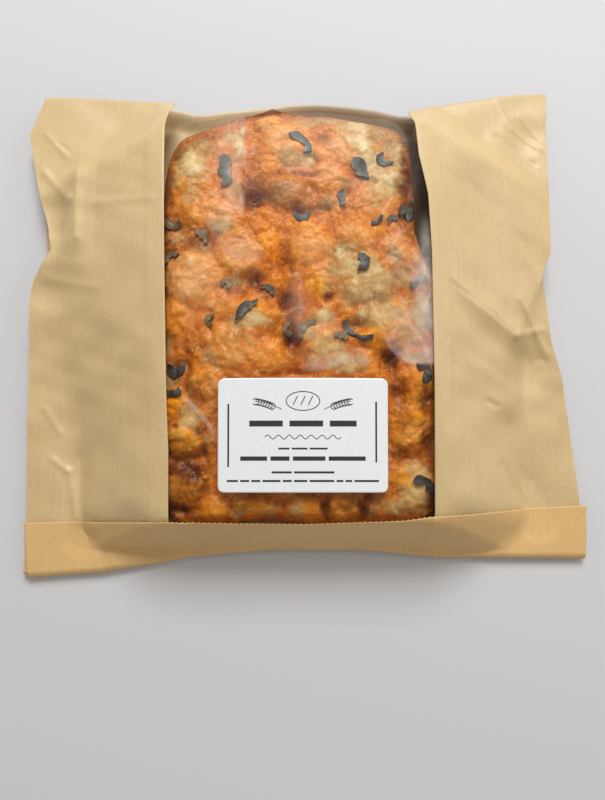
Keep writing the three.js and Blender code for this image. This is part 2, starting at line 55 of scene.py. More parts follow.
# Kraft paper bag. One sheet of brown kraft runs from one window edge round the back to the
# other, with a gusset tucked in at each side. The end at +Y is glued. The mouth at -Y is
# folded over to the front, so the flap shows the back panel's outside. Lengths are in mm.
MM = 0.001
CENTRING = np.array((-0.2, 0.0, 0.0))
PAPER_THICKNESS = 0.16
MOUTH_STACK = 2.6
MOUTH_INSET = 1.2
WINDOW_HALF_WIDTH = 61
BAG_HALF_WIDTH = 134
GUSSET_DEPTH = 16
GUSSET_DEPTH_AT_ENDS = 3
GLUED_END_SLOPE = 1.15
# The crown over the loaf: its height, and where and by how much it falls away.
CROWN = 38
CREST_Y = -31
LABEL_SLOPE = 0.115
SIDE_FALL = 3
SIDE_REACH = 60
END_FALL = 6
END_FALL_FROM_Y = 15
END_REACH = 85
# The long edges are lists of (y, x), and the bag's ends are lists of (x, y). EDGE_HEIGHT and
# BACK_EDGE_HEIGHT are lists of (y, height), and the other heights are lists of (x, height).
FRONT_LEFT = [(-125, -132.6), (-96, -133), (-36, -134.5), (14, -134.2), (21.5, -132.3),
              (36, -123.8), (73, -134.1), (100, -140.6), (124, -133.2)]
BACK_LEFT = [(-125, -132.6), (-96, -133), (-36, -134.5), (14, -134.2), (36, -131.5), (73, -134.1),
             (100, -140.6), (124, -133.2)]
FRONT_RIGHT = [(-125, 137), (-90, 137.6), (-63, 135.4), (-30, 131.6), (-8, 126), (18, 119.6),
               (35, 126.3), (65, 128.2), (104, 129.4), (125, 131.1)]
BACK_RIGHT = [(-125, 137), (-90, 137.6), (-63, 135.4), (-30, 131.6), (15, 128.2), (35, 126.3),
              (65, 128.2), (104, 129.4), (125, 131.1)]
WINDOW_LEFT = [(-120, -58), (-65, -58.2), (-11, -60.7), (27, -62.5), (92, -65.3), (118, -64.8)]
WINDOW_RIGHT = [(-120, 61.5), (-52, 61.7), (28, 62.5), (56, 61.7), (77, 58), (95, 57), (114, 57.8)]
GLUED_END = [(-134, 122.2), (-100, 121.6), (-65, 118.6), (-54, 115.2), (-38, 117), (-21, 118.6),
             (-5, 120.7), (10, 121.2), (24, 120), (42, 117.8), (57, 114), (67, 115.8), (85, 119.3),
             (106.5, 123.2), (131, 124.4)]
MOUTH_FOLD = [(-131, -124.2), (-94, -121.6), (-67, -117), (-52, -114.2), (-14, -110.8),
              (32, -110.8), (64, -114.2), (139, -115.2)]
FLAP_EDGE = [(-134, -98.6), (-58, -96.2), (2, -96.8), (47, -95.5), (62, -94), (141, -90)]
EDGE_HEIGHT = [(-125, 3.2), (-90, 3.4), (-60, 4.5), (-10, 8.5), (20, 13), (45, 14), (80, 11),
               (124, 9)]
BACK_EDGE_HEIGHT = [(-125, 0), (40, 0), (80, 1.5), (124, 4.4)]
GLUED_END_HEIGHT = [(-134, 4.4), (-66, 4), (-8, 5), (28, 5), (58, 4), (131, 4.4)]
MOUTH_LIFT = [(-131, 0), (-90, 0), (-40, 1.6), (-10, 2.6), (35, 2.4), (75, 0.6), (139, 0)]
# Direction, distance out to the shoulder, height there, fall per mm at the mouth and glued end.
FACETS = [(180, 59.5, 35.2, 0.62, 0.31), (0, 60.5, 35.2, 0.6, 0.37), (270, 94, 32.2, 1.7, 1.7),
          (90, 110, 31.5, 2.6, 2.6), (128, 113, 31.5, 0.9, 0.9), (52, 111, 31.5, 0.9, 0.9),
          (230, 108, 31.5, 0.72, 0.72), (310, 109, 31.5, 0.74, 0.74)]
# Two ends, height (a valley below zero) and width of each fold line in the paper.
CREASES = [(-110, 74, -109, 40, 3.6, 11), (71, 12, 106, -9, 2.6, 11), (106, -9, 119, 18, 1.6, 10),
           (-108, -68, -104, -104, -2.4, 13), (103, -52, 117, -98, -2.2, 12),
           (84, 66, 112, 40, -1.3, 12)]
# Centre, reach and depth of each soft dent.
DENTS = [(-124, 52, 13, 24, 5), (-118, 16, 20, 15, 2.6), (116, -22, 14, 20, 2.6),
         (118, 100, 12, 14, 1.8)]


def along(points, v):
    return np.interp(v, [p[0] for p in points], [p[1] for p in points])


def mix(a, b, t):
    return a + (b - a) * t


def ease(start, end, v):
    t = np.clip((v - start) / (end - start), 0, 1)
    return t * t * (3 - 2 * t)


def soft_min(a, b, rounding):
    h = np.clip(0.5 + 0.5 * (b - a) / rounding, 0, 1)
    return mix(b, a, h) - rounding * h * (1 - h)


def crown(x, y):
    side = SIDE_FALL * (x / SIDE_REACH) ** 2
    to_mouth = LABEL_SLOPE * np.maximum(0, CREST_Y - y)
    to_glued_end = END_FALL * (np.maximum(0, y - END_FALL_FROM_Y) / END_REACH) ** 2
    return CROWN - side - to_mouth - to_glued_end


def fold_line(x, y, x0, y0, x1, y1, height, width):
    """Height of a ridge between two points, highest along the line and gone at its width."""
    dx, dy = x1 - x0, y1 - y0
    share = np.clip(((x - x0) * dx + (y - y0) * dy) / (dx * dx + dy * dy), 0, 1)
    away = np.hypot(x - x0 - share * dx, y - y0 - share * dy)
    return height * np.maximum(0, 1 - away / width) ** 1.5


def drape(x, y):
    """Height of the front of the bag, paper or film, which hangs over the loaf in facets."""
    z = crown(x, y)
    for toward, shoulder, height, mouth_fall, end_fall in FACETS:
        outward = x * cos(radians(toward)) + y * sin(radians(toward))
        fall = mix(mouth_fall, end_fall, ease(-70, 35, y))
        z = soft_min(z, height - fall * (outward - shoulder), 3.5)
    middle = ease(75, 45, np.abs(x))
    at_glued_end = along(GLUED_END_HEIGHT, x) + mix(4.6, 2.3, middle)
    at_mouth = along(MOUTH_LIFT, x) + MOUTH_STACK
    z = soft_min(z, at_glued_end + 0.6 + GLUED_END_SLOPE * (along(GLUED_END, x) - y), 2)
    rest = mix(along(EDGE_HEIGHT, y), np.where(y > 0, at_glued_end, at_mouth), middle)
    z = -soft_min(-z, -rest, 3)
    on_margin = ease(70, 84, np.abs(x))
    for crease in CREASES:
        z = z + fold_line(x, y, *crease) * on_margin
    for cx, cy, reach_x, reach_y, depth in DENTS:
        r = np.hypot((x - cx) / reach_x, (y - cy) / reach_y)
        z = z - depth * np.maximum(0, 1 - r * r) ** 2
    return np.maximum(z, along(MOUTH_LIFT, x) + MOUTH_STACK)


def over_drape(x, y, distance):
    """Points at a distance from the drape, measured square to it."""
    step = 0.5
    slope_x = (drape(x + step, y) - drape(x - step, y)) / (2 * step)
    slope_y = (drape(x, y + step) - drape(x, y - step)) / (2 * step)
    size = np.sqrt(slope_x ** 2 + slope_y ** 2 + 1)
    return np.stack((x - distance * slope_x / size, y - distance * slope_y / size,
                     drape(x, y) + distance / size), axis=-1)


# Small fold lines and dents that only the thin real sheet shows.
FINE_FOLDS = [
    (-131, 79, -114, 60, 0.9, 4), (-114, 60, -127, 43, 1.1, 4), (-100, 57, -70, 55, 0.5, 4),
    (-126, -43, -118, -55, 0.7, 3), (-121, -68, -113, -74, 0.9, 3), (-98, 14, -126, 22, 0.6, 5),
    (-113, -74, -108, -97, 0.9, 3), (90, -41, 96, -43, -0.8, 2.5), (98, -71, 111, -90, -0.9, 4),
    (72, 16, 108, -7, 0.7, 2.5), (109, 10, 124, -16, 1.0, 3.5), (106, -9, 121, -4, 0.8, 3),
    (105, 121, 112, 104, 0.5, 1.6), (112, 104, 126, 92, 0.6, 1.6), (116, 112, 127, 96, 0.4, 1.4),
    (104, 100, 122, 84, -0.6, 3), (66, 119, 74, 112, 0.4, 1.4), (-132, 101, -120, 88, 0.5, 3),
    (84, -20, 112, -34, -0.4, 5), (120, 60, 128, 20, 0.5, 3), (92, 60, 118, 24, 0.5, 6),
    (-126, 96, -120, 92, -0.5, 1.2), (70, 84, 96, 100, -0.3, 6)
]
# Length, direction in radians and height of the soft waves in the paper.
WAVES = [(41, 0.6, 0.4), (26, 2.2, 0.22), (14, 1.1, 0.1)]
# The film's glued margin shows through the paper as a low step this far from the window.
SEAM_FROM_EDGE = 9.5
SEAM_HEIGHT = 0.26


def paper_relief(x, y):
    """What the thin sheet adds to the drape: fine folds, the film's seam and soft waves."""
    z = np.zeros_like(x)
    for fold in FINE_FOLDS:
        z = z + fold_line(x, y, *fold)
    edge = np.where(x < 0, along(WINDOW_LEFT, y) - x, x - along(WINDOW_RIGHT, y))
    z = z + SEAM_HEIGHT * ease(SEAM_FROM_EDGE + 0.6, SEAM_FROM_EDGE - 0.6, edge)
    away = ease(1, 14, edge)
    for k, (pitch, turn, height) in enumerate(WAVES):
        wave = np.sin((x * cos(turn) + y * sin(turn)) * 2 * pi / pitch + 2 * np.sin(y / pitch + k))
        z = z + height * wave * away
    return z


def lay_grid(bm, points, **values):
    """Makes a grid whose vertices go to points[row][column] and carry the named values."""
    kept = bm.verts.layers.float
    layers = {name: kept.get(name) or kept.new(name) for name in values}
    rows, columns = points.shape[:2]
    made = bmesh.ops.create_grid(bm, x_segments=columns - 1, y_segments=rows - 1, size=1)["verts"]
    for vert in made:
        column = round((vert.co.x + 1) / 2 * (columns - 1))
        row = round((vert.co.y + 1) / 2 * (rows - 1))
        vert.co = (points[row, column] + CENTRING) * MM
        for name, layer in layers.items():
            vert[layer] = values[name][row, column]
    return made


def new_object(name, bm, material):
    mesh = bpy.data.meshes.new(name)
    bm.to_mesh(mesh)
    bm.free()
    mesh.materials.append(material)
    made = bpy.data.objects.new(name, mesh)
    scene.collection.objects.link(made)
    return made


def finish_piece(name, bm, material, *nodes, sharp=None):
    """Turns bm into a smooth piece that rides on the root and replaces the named nodes."""
    piece = new_object(name, bm, material)
    piece.data.shade_smooth()
    if sharp is not None:
        piece.data.set_sharp_from_angle(angle=radians(sharp))
    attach(piece, "root")
    if nodes:
        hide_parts(*nodes)
    return piece


def thicken(piece, thickness):
    solid = piece.modifiers.new("thickness", "SOLIDIFY")
    solid.thickness = thickness * MM
    solid.offset = 0


def row_y(x, share):
    """Where a row across the bag runs: share 0 is at the fold of the mouth, 1 at the glued end."""
    return mix(along(MOUTH_FOLD, x) + MOUTH_INSET, along(GLUED_END, x), share)


def back(x, y):
    """Height of the back panel, which lifts off the table at both of its ends."""
    to_mouth = y - along(MOUTH_FOLD, x)
    to_glued_end = along(GLUED_END, x) - y
    lift = along(MOUTH_LIFT, x) * ease(12, 0, to_mouth)
    return PAPER_THICKNESS / 2 + lift + along(GLUED_END_HEIGHT, x) * ease(10, 0, to_glued_end)


def side_section(station, sign):
    """Points of one side of the bag, from the window edge to the folded back edge."""
    left = (WINDOW_LEFT, FRONT_LEFT, BACK_LEFT)
    right = (WINDOW_RIGHT, FRONT_RIGHT, BACK_RIGHT)
    window_edge, front_edge, back_edge = left if sign < 0 else right
    window_x = along(window_edge, row_y(sign * WINDOW_HALF_WIDTH, station))
    front_x = along(front_edge, row_y(sign * BAG_HALF_WIDTH, station))
    back_x = along(back_edge, row_y(sign * BAG_HALF_WIDTH, station))
    x = mix(window_x, front_x, np.linspace(0, 1, 72))
    y = row_y(x, station)
    strip = np.stack((x, y, drape(x, y) + paper_relief(x, y)), axis=-1)
    y = row_y(front_x, station)
    front_z = strip[-1, 2]
    back_z = max(PAPER_THICKNESS / 2 + along(BACK_EDGE_HEIGHT, y), back(back_x, y))
    depth = mix(GUSSET_DEPTH_AT_ENDS, GUSSET_DEPTH, sin(pi * station) ** 0.7)
    crease_x = front_x - sign * depth
    crease_z = max((front_z + back_z) / 2, back_z + 1)
    corners = np.array([(front_x, y, front_z - 0.45), (crease_x, y, crease_z + 0.2),
                        (crease_x, y, crease_z - 0.2), (back_x, y, back_z + 0.45),
                        (back_x, y, back_z)])
    upper = [mix(corners[0], corners[1], t) for t in np.linspace(0, 1, 6)]
    lower = [mix(corners[2], corners[3], t) for t in np.linspace(0, 1, 6)]
    return np.concatenate((strip, upper, lower, corners[4:]))


bm = bmesh.new()
rows = []
for station in np.linspace(0, 1, 220):
    left = side_section(station, -1)
    right = side_section(station, 1)
    s = np.linspace(0, 1, 42)[1:-1]
    x = mix(left[-1, 0], right[-1, 0], s)
    y = row_y(x, station)
    edge_z = np.where(s < 0.5, left[-1, 2], right[-1, 2])
    z = np.maximum(back(x, y), mix(PAPER_THICKNESS / 2, edge_z, ease(0.75, 1, np.abs(2 * s - 1))))
    rows.append(np.concatenate((left, np.stack((x, y, z), axis=-1), right[::-1])))
rows = np.array(rows)
x, y = rows[..., 0], rows[..., 1]
# Painted shade darkens the back panel in the gap beside the loaf and at its far end.
by_side = ease(44, 58, x) * ease(86, 70, x) * ease(-30, 10, y)
by_end = 0.6 * ease(98, 106, y) * ease(-14, 8, x) * ease(74, 62, x)
column = np.arange(rows.shape[1])
on_back = (column >= len(left)) & (column < len(left) + len(s))
greasy = np.maximum(by_side, by_end) * on_back
lay_grid(bm, rows, flap=np.zeros(rows.shape[:2]), greasy=greasy)

# The flap: up round the fold of the mouth, then along the front to its pinked edge.
FLAP_FOLDS = [
    (-53, -97, -32, -113, 1.2, 3), (-46, -99, -44, -114, -0.8, 4), (-17, -112, -12, -104, 1.0, 3),
    (22, -110, 27, -106, 1.6, 3), (62, -96, 60, -113, 0.7, 4), (72, -94, 76, -112, -0.5, 4),
    (-96, -100, -88, -120, 0.5, 5), (104, -94, 98, -114, 0.5, 5), (-70, -98, -60, -114, 0.6, 5)
]
PINK_PITCH = 2.4
PINK_DEPTH = 0.45
FOLD_ENDS = (-130.2, 138.9)
FLAP_ENDS = (-133.4, 140.4)
FOLD_RADIUS = (MOUTH_STACK + 0.7) / 2
FOLD_INSET = 0.9
FLAP_OVER_FRONT = 1.15
turn = np.linspace(-pi / 2, pi / 2, 7)
columns = []
for s in np.linspace(0, 1, 500):
    fold_x = mix(*FOLD_ENDS, s)
    edge_x = mix(*FLAP_ENDS, s)
    fold_y = along(MOUTH_FOLD, fold_x)
    lift = along(MOUTH_LIFT, fold_x)
    round_y = fold_y + FOLD_INSET - FOLD_RADIUS * np.cos(turn)
    round_z = lift + 0.25 + FOLD_RADIUS + FOLD_RADIUS * np.sin(turn)
    round_fold = np.stack((np.full_like(turn, fold_x), round_y, round_z), axis=-1)
    tooth = PINK_DEPTH * abs((edge_x / PINK_PITCH) % 1 - 0.5) * 2
    t = np.linspace(0.03, 1, 30)
    x = mix(fold_x, edge_x, t)
    y = mix(fold_y + FOLD_INSET, along(FLAP_EDGE, edge_x) - tooth, t)
    ripple = sum(fold_line(x, y, *fold) for fold in FLAP_FOLDS)
    ripple = ripple + 0.25 * np.sin(x / 9 + 2 * np.sin(x / 23)) * t
    top = over_drape(x, y, FLAP_OVER_FRONT)
    top[:, 2] += ripple
    columns.append(np.concatenate((round_fold[:-1], top)))
columns = np.array(columns)
clean = np.zeros(columns.shape[:2])
flap = lay_grid(bm, columns, flap=clean + 1, greasy=clean)
bmesh.ops.reverse_faces(bm, faces=list({face for vert in flap for face in vert.link_faces}))


def new_material(name):
    material = bpy.data.materials.new(name)
    material.use_nodes = True
    return material, material.node_tree, material.node_tree.nodes["Principled BSDF"]


def feed(tree, value, socket):
    """Links another node's output to a socket, or sets a plain value on it."""
    if hasattr(value, "is_linked"):
        tree.links.new(value, socket)
    else:
        socket.default_value = value


def object_coordinates(tree, scale=(1, 1, 1)):
    place = tree.nodes.new("ShaderNodeTexCoord")
    mapping = tree.nodes.new("ShaderNodeMapping")
    mapping.inputs["Scale"].default_value = scale
    feed(tree, place.outputs["Object"], mapping.inputs["Vector"])
    return mapping.outputs["Vector"]


def noise_node(tree, where, scale, detail=3, roughness=0.5, distortion=0, kind="FBM"):
    node = tree.nodes.new("ShaderNodeTexNoise")
    node.noise_type = kind
    for name, value in (("Vector", where), ("Scale", scale), ("Detail", detail),
                        ("Roughness", roughness), ("Distortion", distortion)):
        feed(tree, value, node.inputs[name])
    return node.outputs["Fac"]


def ramp(tree, value, *stops):
    """Stops are (position, colour), with a colour of three sRGB bytes or one grey from 0 to 1."""
    node = tree.nodes.new("ShaderNodeValToRGB")
    elements = node.color_ramp.elements
    while len(elements) < len(stops):
        elements.new(0.5)
    for element, (position, colour) in zip(elements, stops):
        element.position = position
        element.color = paint(colour)
    feed(tree, value, node.inputs["Fac"])
    return node.outputs["Color"]


def paint(colour):
    """The scene colour of three sRGB bytes, or of one plain grey."""
    if isinstance(colour, (int, float)):
        return (colour, colour, colour, 1)
    linear = [((c / 255 + 0.055) / 1.055) ** 2.4 if c > 10 else c / 255 / 12.92 for c in colour]
    return (*linear, 1)


def blend(tree, factor, first, second, mode="MIX"):
    node = tree.nodes.new("ShaderNodeMix")
    node.data_type = "RGBA"
    node.blend_type = mode
    for socket, value in (("Factor", factor), (6, first), (7, second)):
        feed(tree, value, node.inputs[socket])
    return node.outputs[2]


def bump(tree, height, distance, strength, under=None):
    node = tree.nodes.new("ShaderNodeBump")
    node.inputs["Strength"].default_value = strength
    node.inputs["Distance"].default_value = distance * MM
    feed(tree, height, node.inputs["Height"])
    if under is not None:
        feed(tree, under, node.inputs["Normal"])
    return node.outputs["Normal"]


def attribute(tree, name):
    node = tree.nodes.new("ShaderNodeAttribute")
    node.attribute_name = name
    return node.outputs["Fac"]


def maths(tree, operation, first, second, clamp=False):
    node = tree.nodes.new("ShaderNodeMath")
    node.operation = operation
    node.use_clamp = clamp
    feed(tree, first, node.inputs[0])
    feed(tree, second, node.inputs[1])
    return node.outputs[0]


def paper_grain_group():
    """The fibres of paper: how light each one is, and the surface that they raise."""
    group = bpy.data.node_groups.new("paper grain", "ShaderNodeTree")
    for name, direction, kind in (("Where", "INPUT", "Vector"), ("Scale", "INPUT", "Float"),
                                  ("Coarseness", "INPUT", "Float"), ("Height", "INPUT", "Float"),
                                  ("Fibres", "OUTPUT", "Float"), ("Surface", "OUTPUT", "Vector")):
        group.interface.new_socket(name, in_out=direction, socket_type="NodeSocket" + kind)
    taken = group.nodes.new("NodeGroupInput").outputs
    given = group.nodes.new("NodeGroupOutput").inputs
    fibres = noise_node(group, taken["Where"], taken["Scale"], 3, taken["Coarseness"])
    raised = group.nodes.new("ShaderNodeBump")
    raised.inputs["Strength"].default_value = 0.5
    feed(group, taken["Height"], raised.inputs["Distance"])
    feed(group, fibres, raised.inputs["Height"])
    feed(group, fibres, given["Fibres"])
    feed(group, raised.outputs["Normal"], given["Surface"])
    return group


paper_grain = paper_grain_group()


def grain_of(tree, where, scale, coarseness, height):
    """Puts the paper grain in a material and gives back its fibres and its surface."""
    node = tree.nodes.new("ShaderNodeGroup")
    node.node_tree = paper_grain
    node.inputs["Scale"].default_value = scale
    node.inputs["Coarseness"].default_value = coarseness
    node.inputs["Height"].default_value = height * MM
    feed(tree, where, node.inputs["Where"])
    return node.outputs["Fibres"], node.outputs["Surface"]


# Kraft has faint ribs, loose fibres and cloudy pulp. The flap is tinted browner and warmer as painted
# shade, and painted shade darkens the back panel in the gap beside the loaf.
kraft, tree, shader = new_material("brown kraft paper")
stripes = noise_node(tree, object_coordinates(tree, (1, 0.02, 1)), 900, 2)
fibres, grain = grain_of(tree, object_coordinates(tree, (1, 0.35, 1)), 2200, 0.7, 0.05)
clouds = noise_node(tree, object_coordinates(tree), 35, 4, 0.6)
tone = ramp(tree, stripes, (0.3, (205, 179, 131)), (0.7, (214, 189, 142)))
tone = blend(tree, 0.35, tone, ramp(tree, clouds, (0.3, (196, 168, 120)), (0.7, (220, 196, 150))))
tone = blend(tree, 0.18, tone, ramp(tree, fibres, (0.35, (168, 136, 92)), (0.65, (232, 210, 166))))
# Painted shade: the flap takes a warmer, browner tint for the shade on the folded mouth.
worn = blend(tree, 1.0, tone, (1.08, 0.95, 0.78, 1), "MULTIPLY")
tone = blend(tree, attribute(tree, "flap"), tone, worn)
# Painted shade: the back panel turns dark brown in the gap beside the loaf and at its far end.
soaked = blend(tree, 1.0, tone, (0.3, 0.24, 0.2, 1), "MULTIPLY")
feed(tree, blend(tree, attribute(tree, "greasy"), tone, soaked), shader.inputs["Base Color"])
shader.inputs["Roughness"].default_value = 0.42
shader.inputs["Specular IOR Level"].default_value = 0.45
feed(tree, bump(tree, stripes, 0.05, 0.3, grain), shader.inputs["Normal"])

bag = finish_piece("kraft_bag", bm, kraft, "paper_bag", sharp=50)
thicken(bag, PAPER_THICKNESS)

# Window film. A strip of clear film glued inside the paper on both sides. It lies on the loaf
# in soft wrinkles and has a thin glued end that sticks up past the back panel.
FILM_MARGIN = 6
FILM_UNDER = -0.5
FILM_OVER_BACK = 0.35
FILM_GLUED_END_SLOPE = 1.42
# The label holds the film smooth where it is stuck on.
LABEL_WIDTH = 76.2
LABEL_LENGTH = 50.8
LABEL_CENTRE = (2.3, -58.6)
# Two ends, height and width of each crease in the film.
FILM_CREASES = [
    (-26, 96, -27, 44, 0.35, 3), (-58, 64, -40, 52, 0.5, 5), (-44, 44, -34, 18, 0.6, 6),
    (48, 34, 61, 14, 0.9, 6), (47, 14, 60, -6, 0.8, 6), (36, 2, 62, -26, 0.8, 5),
    (28, -8, 50, -30, 0.6, 4), (44, 60, 57, 30, 0.6, 5), (-52, -36, -37, -58, 1.0, 2),
    (-60, 26, -44, 34, 0.5, 5), (0, 12, 2, -26, 0.5, 6), (10, -24, 34, -27, 0.5, 3),
    (-20, 100, 40, 102, 0.5, 4), (40, 100, 56, 86, 0.5, 4), (-58, 92, -30, 99, 0.6, 4),
    (54, -40, 62, -74, 0.6, 4), (20, 34, 38, 22, 0.4, 4), (-8, 66, 12, 60, 0.4, 4)
]


def film_wrinkles(x, y):
    past_side = np.abs(x - LABEL_CENTRE[0]) - LABEL_WIDTH / 2
    past_end = np.abs(y - LABEL_CENTRE[1]) - LABEL_LENGTH / 2
    off_label = 1 - ease(3, -1, np.maximum(past_side, past_end))
    z = 0.25 * np.sin(x / 6 + 2 * np.sin(y / 17)) * np.sin(y / 11 + np.sin(x / 13))
    for crease in FILM_CREASES:
        z = z + fold_line(x + 1.5 * np.sin(y / 6), y, *crease)
    return z * off_label


# Painted glare on the film where its creases reflect the light: centre, reach across and along,
# whiteness.
VEILS = [(-31, 30, 11, 6, 0.1), (-37, 42, 6, 6, 0.1), (48, -6, 9, 8, 0.14), (58, 16, 6, 11, 0.5),
         (46, 24, 5, 12, 0.08), (59, -4, 7, 14, 0.4), (0, 0, 5, 14, 0.1), (12, -10, 8, 6, 0.12),
         (60, 32, 3, 10, 0.3), (-33, 8, 7, 6, 0.08), (-36, 78, 5, 10, 0.14)]
# Folds with painted glare on one side only, which ends sharply at the fold: from, to, width, whiteness.
HAZY_FOLDS = [
    (-26, 44, -25.5, 98, 18, 0.18), (3, -30, 34, -26.5, 11, 0.26), (46, -25, 64, -27, 20, 0.4),
    (-37, -58, -50, -39, 2, 0.9), (38, -13, 46, -25, 14, 0.22), (-36, 26, -18, 20, 14, 0.16),
    (55, 8, 61, 24, 1.6, 0.8), (57, -2, 62, 9, 1.4, 0.7), (52, -8, 47, 8, 2.4, 0.35),
    (60, -22, 51, -4, 3, 0.4), (64, -22, 57, -6, 2, 0.45), (56, 24, 61, 34, 1.2, 0.6),
    (0, -12, 3, 12, 2, 0.25), (-60, 92, -34, 101, 1.2, 0.25), (20, 102, 50, 98, 1.2, 0.2)
]


def laid_over(cover, patch):
    return np.maximum(cover, patch) + 0.3 * np.minimum(cover, patch)


def veil(x, y):
    """How much painted glare whitens the film at each point, from 0 to 1."""
    to_end = along(GLUED_END, x) - y
    cover = np.maximum(0.004 + 0.06 * ease(16, 4, to_end), 0.3 * ease(2.4, 0.8, to_end))
    for cx, cy, reach_x, reach_y, white in VEILS:
        patch = white * np.exp(-np.hypot((x - cx) / reach_x, (y - cy) / reach_y) ** 2.6)
        cover = laid_over(cover, patch)
    for x0, y0, x1, y1, width, white in HAZY_FOLDS:
        length = np.hypot(x1 - x0, y1 - y0)
        along_fold = ((x - x0) * (x1 - x0) + (y - y0) * (y1 - y0)) / length
        beside = ((x1 - x0) * (y - y0) - (y1 - y0) * (x - x0)) / length + 0.8 * np.sin(along_fold / 4)
        patch = white * ease(-0.3, 0.9, beside) * ease(width, 0, beside)
        patch = patch * ease(-2, 4, along_fold) * ease(length + 2, length - 4, along_fold)
        cover = laid_over(cover, patch)
    return cover


bm = bmesh.new()
rows = []
for share in np.linspace(0.03, 1, 200):
    left = along(WINDOW_LEFT, row_y(-WINDOW_HALF_WIDTH, share)) - FILM_MARGIN
    right = along(WINDOW_RIGHT, row_y(WINDOW_HALF_WIDTH, share)) + FILM_MARGIN
    x = np.linspace(left, right, 130)
    y = row_y(x, share)
    points = over_drape(x, y, FILM_UNDER)
    inside = np.minimum(x - left, right - x) - FILM_MARGIN
    points[:, 2] += film_wrinkles(x, y) * ease(0, 7, inside)
    end = along(GLUED_END, x)
    glued_z = back(x, end) + FILM_OVER_BACK + FILM_GLUED_END_SLOPE * (end - y)
    glued = np.minimum(points[:, 2], glued_z)
    points[:, 2] = mix(points[:, 2], glued, ease(-6, -3, inside))
    rows.append(points)
rows = np.array(rows)
lay_grid(bm, rows, veil=veil(rows[..., 0], rows[..., 1]))
# The film is clear with a faint gloss, and a painted glare turns it milky white in patches and along
# creases. It casts no shadow.
clear, tree, shader = new_material("clear window film")
shader.inputs["Base Color"].default_value = (0.88, 0.8, 0.74, 1)
shader.inputs["Roughness"].default_value = 0.4
gloss = tree.nodes.new("ShaderNodeBsdfGlossy")
gloss.inputs["Color"].default_value = (1, 1, 1, 1)
gloss.inputs["Roughness"].default_value = 0.32
through = tree.nodes.new("ShaderNodeBsdfTransparent")
facing = tree.nodes.new("ShaderNodeLayerWeight")
facing.inputs["Blend"].default_value = 0.36
crinkle = noise_node(tree, object_coordinates(tree), 110, 3, 0.5, 0.8)
streaky = ramp(tree, crinkle, (0.35, 0.6), (0.65, 1.0))
# Painted glare: a lit white layer is mixed in where the glare patches and creases lie.
haze = maths(tree, "MULTIPLY", attribute(tree, "veil"), streaky)
rays = tree.nodes.new("ShaderNodeLightPath")
seen = maths(tree, "SUBTRACT", 1, rays.outputs["Is Shadow Ray"])
shine = tree.nodes.new("ShaderNodeMixShader")
clear_share = maths(tree, "MULTIPLY", facing.outputs["Fresnel"], 0.15)
feed(tree, maths(tree, "MULTIPLY", clear_share, seen), shine.inputs["Fac"])
feed(tree, through.outputs[0], shine.inputs[1])
feed(tree, gloss.outputs[0], shine.inputs[2])
shows = tree.nodes.new("ShaderNodeMixShader")
feed(tree, maths(tree, "MULTIPLY", haze, seen), shows.inputs["Fac"])
feed(tree, shine.outputs[0], shows.inputs[1])
feed(tree, shader.outputs[0], shows.inputs[2])
feed(tree, shows.outputs[0], tree.nodes["Material Output"].inputs["Surface"])
wrinkled = bump(tree, crinkle, 0.5, 0.5)
for node in (gloss, shader, facing):
    feed(tree, wrinkled, node.inputs["Normal"])
film = finish_piece("clear_window", bm, clear, "window_film")

# Loaf. Focaccia baked in a small pan, so it is a rounded block whose top was pressed with the
# fingers. Cheese melted over most of it in orange mounds, and bare dough shows between them.
LOAF_TO_MOUTH = 104.5
LOAF_CENTRE_Y = 5.5
LOAF_HALF_WIDTH_LEFT = 67
LOAF_HALF_WIDTH_RIGHT = 69
LOAF_HALF_WIDTH_FAR_RIGHT = 58
LOAF_WIDEST_AT = 19
LOAF_BASE_SHARE = 0.965
LOAF_SHOULDER = 0.9
LOAF_FLOOR = 0.85
LOAF_UNDER_DRAPE = 5.8
# How far the loaf reaches from its centre to the glued end, at each share of its half width.
LOAF_TO_GLUED_END = [(-1, 93), (-0.78, 92.6), (-0.63, 95.6), (-0.47, 99.5), (-0.27, 104.2),
                     (-0.19, 106.2), (0, 101), (0.18, 99), (0.54, 98), (0.72, 97), (1, 97)]
# Puffs of dough and cheese: centre, radius and height.
PUFFS = [
    (-52, 68, 14, 2.6), (-34, 83, 8, 1.6), (-5, 86, 14, 2.6), (-14, 97, 8, 2.4), (-15, 75, 9, 1.4),
    (28, 85, 17, 2.6), (15, 79, 8, 1.6), (16, 66, 10, 2), (-5, 59, 9, 2.4), (38, 54, 13, 2.2),
    (42, 67, 9, 2.2), (20, 53, 6, 1.2), (-49, 51, 12, 2), (-33, 46, 10, 2), (-50, 16, 16, 3.2),
    (-60, -2, 11, 1.8), (-29, 27, 13, 2), (6, 32, 12, 2.4), (-12, 31, 9, 1.4), (29, 38, 12, 2.2),
    (30, 16, 14, 2.6), (38, 8, 5.5, 2.2), (10, 18, 9, 1.8), (41, -7, 15, 2.6), (-22, -4, 10, 2.2),
    (-36, 4, 9, 1.6), (-31, -17, 13, 2.4), (-13, -22, 9, 2), (12, -16, 13, 2.4), (11, -4, 7, 1.6),
    (52, 28, 9, 1.6), (-58, -44, 9, 1.6), (-52, -60, 10, 2.4), (-55, -82, 11, 2.6), (52, -55, 11, 2.4),
    (53, -81, 13, 2.4), (-22, -90, 9, 2), (3, -91, 8, 2), (20, -90, 9, 2.6), (37, -88, 8, 2),
    (-20, -50, 14, 2.2), (10, -55, 14, 2.4), (-6, -73, 13, 2), (26, -70, 12, 2.2), (30, -42, 11, 2),
    (56, -34, 9, 1.8), (-42, -34, 9, 1.8), (-38, -92, 8, 1.8)
]
